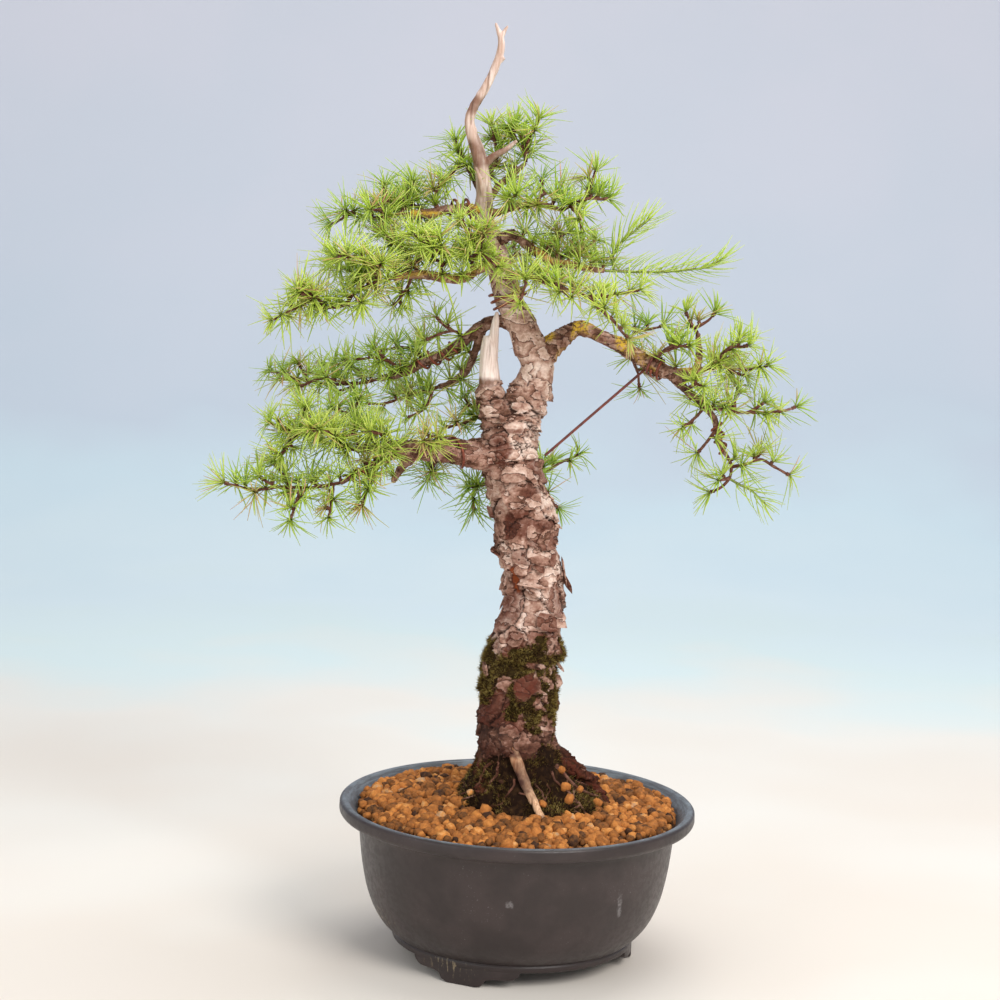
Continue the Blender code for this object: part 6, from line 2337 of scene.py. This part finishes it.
def spikes(starts: Array, aims: Array, lengths: Array, tones: Array, rng: np.random.Generator) -> Shape:
    """Small three-sided spikes, darker at the foot than at the tip.

    Args:
        starts: Where each spike starts.
        aims: Its direction.
        lengths: Its length.
        tones: Its shade at the tip, from 0 to 1.
        rng: The source of random numbers.

    Returns:
        The spikes.
    """
    side = unit(np.cross(aims, rng.normal(size=aims.shape)))
    other = np.cross(aims, side)
    angle = ring_angles(3)[None, :, None]
    base = starts[:, None] + 0.22 * (np.cos(angle) * side[:, None] + np.sin(angle) * other[:, None])
    points = np.concatenate([base, (starts + aims * lengths[:, None])[:, None]], axis=1)
    faces = np.array(((0, 1, 3), (1, 2, 3), (2, 0, 3), (2, 1, 0)))[None]
    faces = faces + np.arange(len(starts))[:, None, None] * 4
    made = Shape(points.reshape(-1, 3), [faces.reshape(-1, 3)])
    tone = (tones[:, None] * np.array((0.3, 0.3, 0.3, 1.0))).ravel()
    made.mark("grain", tone, tone, tone)
    return outward(made)


@dataclass
class Wiring:
    """The training wire: coils on the limbs and a straight guy."""

    thickness: float = 0.9
    per_turn: int = 28
    hug: float = 1.02
    stand_off: float = 1.3
    loose: tuple[tuple[str, float], ...] = (("wire_leader", 1.3), ("wire_left_top", 1.2))
    anchor: Triple = (8.6, -5.2, 327.5)
    hold: float = 0.7
    guy_turns: float = 1.4
    guy_angle: float = 3.9

    def coil(self, rows: Array, turns: float, first: float, loose: float = 0.0) -> Array:
        """Points of a wire wound on wood.

        A point is middle + reach * (cos a * side + sin a * other), where a grows evenly along the
        wood and reach is the wood's radius plus the wire's.

        Args:
            rows: The wood's rows.
            turns: How many turns.
            first: The first angle.
            loose: How much further than usual it stands off.

        Returns:
            The points.
        """
        count = max(8, round(turns * self.per_turn))
        places = np.linspace(0, len(rows) - 1, count + 1)
        numbers = np.arange(len(rows))
        middle = np.stack([np.interp(places, numbers, column) for column in rows.T], axis=1)
        along = unit(np.gradient(middle[:, :3], axis=0))
        side = unit(np.cross(along, np.array((0.0, 1.0, 0.0))))
        other = np.cross(along, side)
        angle = (first + math.tau * turns * np.linspace(0, 1, count + 1))[:, None]
        reach = (middle[:, 3] * self.hug + self.stand_off + loose)[:, None]
        return middle[:, :3] + reach * (np.cos(angle) * side + np.sin(angle) * other)

    def wire(self, name: str, points: Array, material: Material) -> bpy.types.Object:
        """A round wire along points, standing for the CAD node of the same name.

        Args:
            name: The CAD node's name.
            points: The wire's middle line.
            material: Its finish.

        Returns:
            The wire.
        """
        rows = np.column_stack([points, np.full(len(points), self.thickness)])
        rows = smooth_route(rows, 0.8)
        return settle(tube_shape(rows, 10).to_object("fine_" + name, material), "training_wire", name)

    def build(self, material: Material, weathered: Material) -> None:
        """Builds all wires, of which the guy is the most weathered.

        Args:
            material: The finish of the coils.
            weathered: The finish of the guy.
        """
        for name, (wood, stretch, turns, first) in COILS.items():
            rows = smooth_route(TRUNK if wood == "trunk" else LIMBS[wood], 2.0)
            if wood == "trunk":
                rows = rows[(rows[:, 2] >= stretch[0]) & (rows[:, 2] <= stretch[1])]
            else:
                rows = rows[int(stretch[0] * len(rows)) : int(stretch[1] * len(rows)) + 1]
            self.wire(name, self.coil(rows, turns, first, dict(self.loose).get(name, 0.0)), material)
        rows = smooth_route(LIMBS["right_main"], 2.0)
        held = int(self.hold * len(rows))
        loop = self.coil(rows[held - 1 : held + 3], self.guy_turns, self.guy_angle)
        run = np.linspace(np.array(self.anchor), loop[0], 12)[:-1]
        self.wire("guy_wire", np.vstack([run, loop]), weathered)


@dataclass
class Needles:
    """Needles as they are gathered for one spray, and the painted shade of its next ones from their place in
    the light, from 0 to 1.
    """

    light: float = 0.5
    rows: list[tuple[Array, ...]] = field(default_factory=list)

    def add(self, starts: Array, aims: Array, bends: Array, *sizes: Array | float) -> None:
        """Adds needles; sizes are length, width, freshness and dryness, for all or for each."""
        self.rows.append((starts, aims, bends, *(np.broadcast_to(size, len(starts)) for size in sizes)))

    def shape(self) -> Shape:
        """All needles gathered so far."""
        return blades(*(np.concatenate(part) for part in zip(*self.rows)))


@dataclass
class Foliage:
    """The sprays: rosettes of needles on short spurs along every twig, and long shoots."""

    rng: np.random.Generator = field(default_factory=lambda: np.random.default_rng(9))
    spacing: float = 5.7
    shoot_spacing: float = 0.8
    shoot_needle: tuple[float, float] = (11.5, 15.0)
    reach: float = 14.0
    width: float = 1.02
    fewest: int = 18
    most: int = 26
    twig_root: float = 1.15
    twig_tip: float = 0.8
    side_length: tuple[float, float] = (7.0, 12.0)
    airy: tuple[tuple[str, float], ...] = (
        ("apex_middle", 1.3), ("apex_right", 1.3), ("left_top_outer", 1.1), ("left_low", 0.8),
        ("left_upper", 0.74), ("left_middle", 1.45), ("left_low_front_outer", 1.15), ("right_top", 1.6),
        ("right_second", 1.45), ("right_main", 1.9), ("right_low", 1.9), ("right_pendant", 1.9),
        ("back", 1.8),
    )
    # Rosettes on limbs: the limb, the first and last share of its length, how many, and painted shade from
    # its place in the light.
    on_limbs: tuple[tuple[str, float, float, int, float], ...] = (
        ("left_top", 0.66, 0.95, 3, 0.3), ("left_upper", 0.5, 1.0, 5, 0.16),
        ("left_middle", 0.72, 1.0, 6, 0.3), ("left_middle_low", 0.4, 1.0, 6, 0.34),
        ("left_low", 0.76, 1.0, 5, 0.12), ("left_low_front", 0.3, 1.0, 6, 0.26),
        ("left_low_snag", 0.5, 1.0, 2, 0.4), ("right_top", 0.4, 1.0, 5, 0.34),
        ("right_second", 0.3, 1.0, 8, 0.3), ("right_second_low", 0.35, 1.0, 6, 0.16),
        ("right_main", 0.85, 1.0, 2, 0.24), ("right_pendant", 0.2, 0.4, 2, 0.2),
        ("right_low", 0.2, 1.0, 3, 0.34), ("back_upper", 0.5, 1.0, 4, 0.42),
        ("back_low", 0.5, 1.0, 3, 0.36), ("apex_left", 0.5, 1.0, 3, 0.3),
        ("apex_middle", 0.4, 1.0, 3, 0.3), ("apex_right", 0.4, 1.0, 4, 0.3),
    )

    def rosette(self, needles: Needles, foot: Array, axis: Array) -> None:
        """Adds a rosette.

        Needle i of n leans from the axis by an angle that grows with i, and stands a golden angle
        further round than the one before. All bend a little one way.

        Args:
            needles: Where to add it.
            foot: Where its needles start.
            axis: The way it faces.
        """
        rng = self.rng
        count = int(rng.integers(self.fewest, self.most))
        share = (np.arange(count) + 0.5) / count
        lean = np.radians(8.0 + rng.uniform(48.0, 64.0) * share**0.8) + rng.normal(0.0, 0.13, count)
        round_it = np.arange(count) * GOLDEN_ANGLE + rng.normal(0.0, 0.3, count)
        side = unit(np.cross(axis, rng.normal(size=3)))
        other = np.cross(axis, side)
        out = np.cos(round_it)[:, None] * side + np.sin(round_it)[:, None] * other
        aims = np.cos(lean)[:, None] * axis + np.sin(lean)[:, None] * out
        common = rng.normal(0.0, 0.2, 3) + 0.03 * UP
        curl = rng.uniform(0.2, 1.0, count)[:, None]
        bends = curl * out + common + rng.normal(0.0, 0.08, (count, 3))
        size = self.reach * rng.uniform(0.8, 1.06)
        length = size * (0.72 + 0.28 * share) * rng.uniform(0.82, 1.06, count)
        width = self.width * rng.uniform(0.85, 1.12, count)
        # Painted shade: the spray's place in the light sets how dark the green is, with random spread.
        fresh = needles.light + rng.normal(0.0, 0.09) + 0.22 * (share - 0.5) + rng.normal(0.0, 0.06, count)
        dry = np.where(rng.random(count) < 0.05, rng.uniform(0.5, 1.0, count), 0.0)
        dry = np.maximum(dry, 0.9 * (rng.random() < 0.08) * rng.random(count))
        needles.add(foot + 0.7 * aims, unit(aims), bends, length, width, np.clip(fresh, 0.0, 1.0), dry)

    def spur(self, spot: Array, axis: Array, length: float) -> Shape:
        """A short ringed spur with a bud at its end.

        Args:
            spot: Where it starts.
            axis: The way it faces.
            length: Its length.

        Returns:
            The spur's tube.
        """
        thick = self.rng.uniform(0.95, 1.3)
        rows = np.array(((0.0, 1.15), (0.5, 0.95), (0.9, 1.25), (1.12, 0.6)))
        line = np.column_stack([spot + rows[:, 0:1] * length * axis, rows[:, 1] * thick])
        return tube_shape(line, 5)

    def tuft(self, needles: Needles, spot: Array, axis: Array) -> Shape:
        """A rosette on its spur, and the spur's tube.

        Args:
            needles: Where its needles go.
            spot: Where the spur starts.
            axis: The way it faces.

        Returns:
            The spur's tube.
        """
        tall = self.rng.uniform(1.4, 2.8)
        self.rosette(needles, spot + axis * tall, axis)
        return self.spur(spot, axis, tall)

    def dress_twig(
        self, needles: Needles, route: Route | Array, spread: float = 1.0, branching: bool = True
    ) -> list[Shape]:
        """Sets rosettes along a twig and at its end, and short side twigs on a long one.

        Args:
            needles: Where the needles go.
            route: The twig's route.
            spread: How far apart its rosettes are, against the usual.
            branching: Whether it has side twigs.

        Returns:
            The tubes of the twig, its side twigs and all their spurs.
        """
        rng = self.rng
        rows = traced(route, 1.0, 1.8)
        length = lengths_along(rows)
        rows = rows + 0.35 * drift(rows, 0.15, 171) * ease(1.0, 6.0, length)[:, None]
        share = length / length[-1]
        thick = self.twig_root + (self.twig_tip - self.twig_root) * share + 0.08 * rng.normal(size=len(rows))
        wood = [tube_shape(np.column_stack([rows, np.maximum(thick, 0.55)]), 6)]
        along, side, other = frames_along(rows)
        spots = np.arange(3.5 + rng.uniform(-1.0, 1.0), length[-1] - 2.0 * spread, self.spacing * spread)
        way = rng.uniform(0.0, math.tau)
        for number, spot in enumerate(spots + rng.uniform(-0.8, 0.8, len(spots))):
            index = int(np.clip(np.searchsorted(length, spot), 0, len(rows) - 1))
            way += 2.4 + rng.normal(0.0, 0.4)
            out = math.cos(way) * side[index] + math.sin(way) * other[index]
            axis = unit(out + 0.35 * along[index] + 0.5 * UP)
            if branching and number % 4 == 1 and length[-1] > 26.0 and spot < 0.75 * length[-1]:
                flat = unit(out * np.array((1.0, 1.0, 0.2)) + 0.5 * along[index] + 0.1 * UP)
                reach = rng.uniform(*self.side_length)
                bend = rows[index] + np.outer((0.0, 0.5, 1.0), flat * reach)
                bend = bend + np.outer((0.0, 0.2, 1.0), UP * 0.1 * reach)
                wood += self.dress_twig(needles, bend, spread, False)
            else:
                wood.append(self.tuft(needles, rows[index], axis))
        wood.append(self.tuft(needles, rows[-1], unit(along[-1] + 0.2 * UP)))
        return wood

    def dress_shoot(self, needles: Needles, route: Route) -> Shape:
        """Sets single needles along a long shoot like a comb that stands up, and gives its tube.

        The shoot itself is green: short blades along it, end to end, are its skin.

        Args:
            needles: Where its needles go.
            route: The shoot's route.

        Returns:
            The shoot's tube.
        """
        rng = self.rng
        rows = traced(route, 1.0, 1.6)
        length = lengths_along(rows)
        along, side, other = frames_along(rows)
        share = length / length[-1]
        spots = np.arange(3.0, length[-1] - 0.5, self.shoot_spacing)
        count = len(spots)
        place = spots / length[-1]
        index = np.clip(np.searchsorted(length, spots), 0, len(rows) - 1)
        way = np.arange(count) * GOLDEN_ANGLE + rng.normal(0.0, 0.2, count)
        out = np.cos(way)[:, None] * side[index] + np.sin(way)[:, None] * other[index]
        out = unit(out + 0.2 * UP)
        lean = np.radians(66.0 - 26.0 * place**2)[:, None]
        aims = unit(np.cos(lean) * along[index] + np.sin(lean) * out)
        bends = 0.75 * along[index] + 0.1 * UP + rng.normal(0.0, 0.1, aims.shape)
        size = rng.uniform(*self.shoot_needle, count) * (1.0 - 0.35 * place**4)
        # Painted shade: the spray's place in the light sets how dark the shoot's green is.
        fresh = np.clip(needles.light - 0.05 + rng.normal(0.0, 0.08, count), 0.0, 1.0)
        needles.add(rows[index] + out * 0.4, aims, bends, size, self.width * 0.95, fresh, 0.0)
        stem = rows[:-2]
        needles.add(stem, along[:-2], np.zeros_like(stem), 2.9, 3.0 - 1.3 * share[:-2], 0.75, 0.1)
        return tube_shape(np.column_stack([rows, 0.75 - 0.3 * share]), 6)

    def dress_limbs(self, green: Material) -> list[Shape]:
        """Sets rosettes on the limbs themselves, mostly on top, as one piece, and gives their spurs.

        Args:
            green: The finish of the needles.

        Returns:
            The spurs' tubes.
        """
        rng = self.rng
        needles = Needles()
        wood = []
        for name, first, last, count, light in self.on_limbs:
            needles.light = light
            rows = traced(LIMBS[name], 1.0)
            along, side, other = frames_along(rows)
            for place in np.linspace(first, last, count) + rng.uniform(-0.02, 0.02, count):
                index = int(np.clip(place * (len(rows) - 1), 1, len(rows) - 1))
                way = rng.uniform(0.0, math.tau)
                out = unit(math.cos(way) * side[index] + math.sin(way) * other[index] + 0.9 * UP)
                spot = rows[index, :3] + out * rows[index, 3] * 0.8
                wood.append(self.tuft(needles, spot, unit(out + 0.2 * along[index])))
        settle(needles.shape().to_object("foliage_on_limbs", green), "larch_needles")
        return wood

    def build(self, green: Material, bark: Material) -> None:
        """Builds every spray as a piece of its own, and all twigs and spurs as one.

        Args:
            green: The finish of the needles.
            bark: The finish of the twigs.
        """
        wood = []
        for name, (light, routes) in SPRAYS.items():
            needles = Needles(light.value)
            spread = max((share for start, share in self.airy if name.startswith(start)), default=1.0)
            for route in routes:
                wood += self.dress_twig(needles, route, spread)
            wood += [self.dress_shoot(needles, route) for route in SHOOTS.get(name, ())]
            made = needles.shape().to_object("foliage_" + name, green)
            settle(made, "larch_needles", "needles_" + name)
        twigs = join_shapes(wood + self.dress_limbs(green))
        twigs.mark("relief", 0.0, 0.3 + 0.25 * noise(twigs.points, 0.4, 181), 0.3)
        twigs.mark("cover", 0.0, 0.55, 0.0)
        settle(twigs.to_object("twigs_and_spurs", bark), "larch_wood")


@dataclass(frozen=True)
class Lamp:
    """A square soft light: its place and size in metres, its power in watts and its colour."""

    name: str
    place: Triple
    size: float
    power: float
    colour: Colour


@dataclass
class Studio:
    """The paper sweep, the lights and the camera that the photo was taken with.

    Lengths are metres, but camera_from_axis is in millimetres from the pot's axis.
    """

    lens: float = 86.4
    camera_from_axis: Triple = (0.0, -1516.8, 501.3)
    pitch: float = -7.662
    roll: float = 2.234
    yaw: float = -0.710
    sky: Colour = (0.93, 0.96, 1.0)
    glow: float = 0.62
    aim: Triple = (0.0, 0.0, 0.28)
    lamps: tuple[Lamp, ...] = (
        Lamp("key", (1.0, -1.6, 1.5), 1.0, 36.0, (1.0, 0.97, 0.94)),
        Lamp("fill", (-1.5, -1.3, 0.8), 1.6, 9.0, (0.95, 0.98, 1.0)),
        Lamp("top", (0.2, 0.3, 1.9), 1.2, 16.0, (0.98, 0.99, 1.0)),
    )
    floor: float = 6.0
    bend_from: float = 1.2
    bend: float = 1.4

    def sweep(self, material: Material) -> None:
        """A floor that curves up into a wall behind the object.

        Args:
            material: Its finish.
        """
        turn = np.linspace(0.0, math.pi / 2, 24)
        away = self.bend_from + self.bend * np.sin(turn)
        curve = np.column_stack([away, self.bend - self.bend * np.cos(turn)])
        line = np.vstack([[(-self.floor, 0.0)], curve, [(self.bend_from + self.bend, self.floor)]])
        sides = [np.column_stack([np.full(len(line), x), line]) for x in (-self.floor, self.floor)]
        count = len(line)
        index = np.arange(count - 1)
        faces = np.stack([index, index + count, index + count + 1, index + 1], axis=1)
        Shape(np.vstack(sides) / MM, [faces]).to_object("paper_sweep", material)

    def light(self, lamp: Lamp) -> None:
        """Sets up a lamp that faces the tree.

        Args:
            lamp: The lamp.
        """
        data = bpy.data.lights.new(lamp.name, "AREA")
        data.size = lamp.size
        data.energy = lamp.power
        data.color = lamp.colour
        made = linked(lamp.name, data)
        made.location = lamp.place
        made.rotation_euler = (Vector(self.aim) - Vector(lamp.place)).to_track_quat("-Z", "Y").to_euler()

    def camera(self) -> None:
        """Sets up the photo's camera: it looks down by pitch, to the right by yaw, and leans by roll."""
        data = bpy.data.cameras.new("camera")
        data.lens = self.lens
        data.sensor_width = 36.0
        data.clip_start = 0.01
        made = linked("camera", data)
        down, turn, tilt = (math.radians(angle) for angle in (self.pitch, self.yaw, self.roll))
        forward = Vector((math.sin(turn) * math.cos(down), math.cos(turn) * math.cos(down), math.sin(down)))
        level = Vector((math.cos(turn), -math.sin(turn), 0.0))
        above = level.cross(forward)
        right = level * math.cos(tilt) + above * math.sin(tilt)
        up = above * math.cos(tilt) - level * math.sin(tilt)
        spot = (Vector(self.camera_from_axis) + Vector(ORIGIN)) * MM
        made.matrix_world = Matrix((*zip(right, up, -forward, spot), (0.0, 0.0, 0.0, 1.0)))
        bpy.context.scene.camera = made

    def shoot(self) -> None:
        """Sets up world, lights and camera."""
        world = bpy.data.worlds.new("studio")
        world.use_nodes = True
        background = world.node_tree.nodes["Background"]
        background.inputs["Color"].default_value = (*self.sky, 1.0)
        background.inputs["Strength"].default_value = self.glow
        bpy.context.scene.world = world
        bpy.context.scene.view_settings.view_transform = "Standard"
        for lamp in self.lamps:
            self.light(lamp)
        self.camera()


def build_tree(clay: Material) -> None:
    """Builds wood, moss, wire and needles.

    Args:
        clay: The finish of the granules.
    """
    bark = BarkFinish().material()
    moss = MossFinish().material()
    wood = LivingWood()
    trunk = wood.build_trunk()
    settle(trunk.to_object("trunk", bark), "larch_wood", "tree")
    settle(wood.build_limbs().to_object("limbs", bark), "larch_wood", "tree")
    BarkFlakes().build(trunk, bark)
    bleached = BareWoodFinish("bleached_wood", tint(250, 234, 226), tint(176, 136, 112), tint(118, 78, 58))
    peeled = BareWoodFinish("peeled_wood", tint(240, 198, 158), tint(150, 96, 60), tint(68, 32, 20), 0.6)
    DeadWood().build_tips(bleached.material())
    DeadWood().build_root(peeled.material())
    RootMound().build(trunk, moss, bark, clay)
    guy = WireFinish("weathered_wire", tint(132, 72, 62), tint(84, 46, 44))
    Wiring().build(WireFinish().material(), guy.material())
    Foliage().build(NeedleFinish().material(), bark)


def main() -> None:
    """Builds the looks of the bonsai and its studio."""
    logging.basicConfig(level=logging.INFO, format="%(name)s: %(message)s")
    PlasticPot().build(PlasticFinish().material())
    clay = ClayFinish().material()
    Soil().build(clay)
    build_tree(clay)
    studio = Studio()
    studio.sweep(StageFinish().material())
    studio.shoot()


if __name__ == "__main__":
    main()
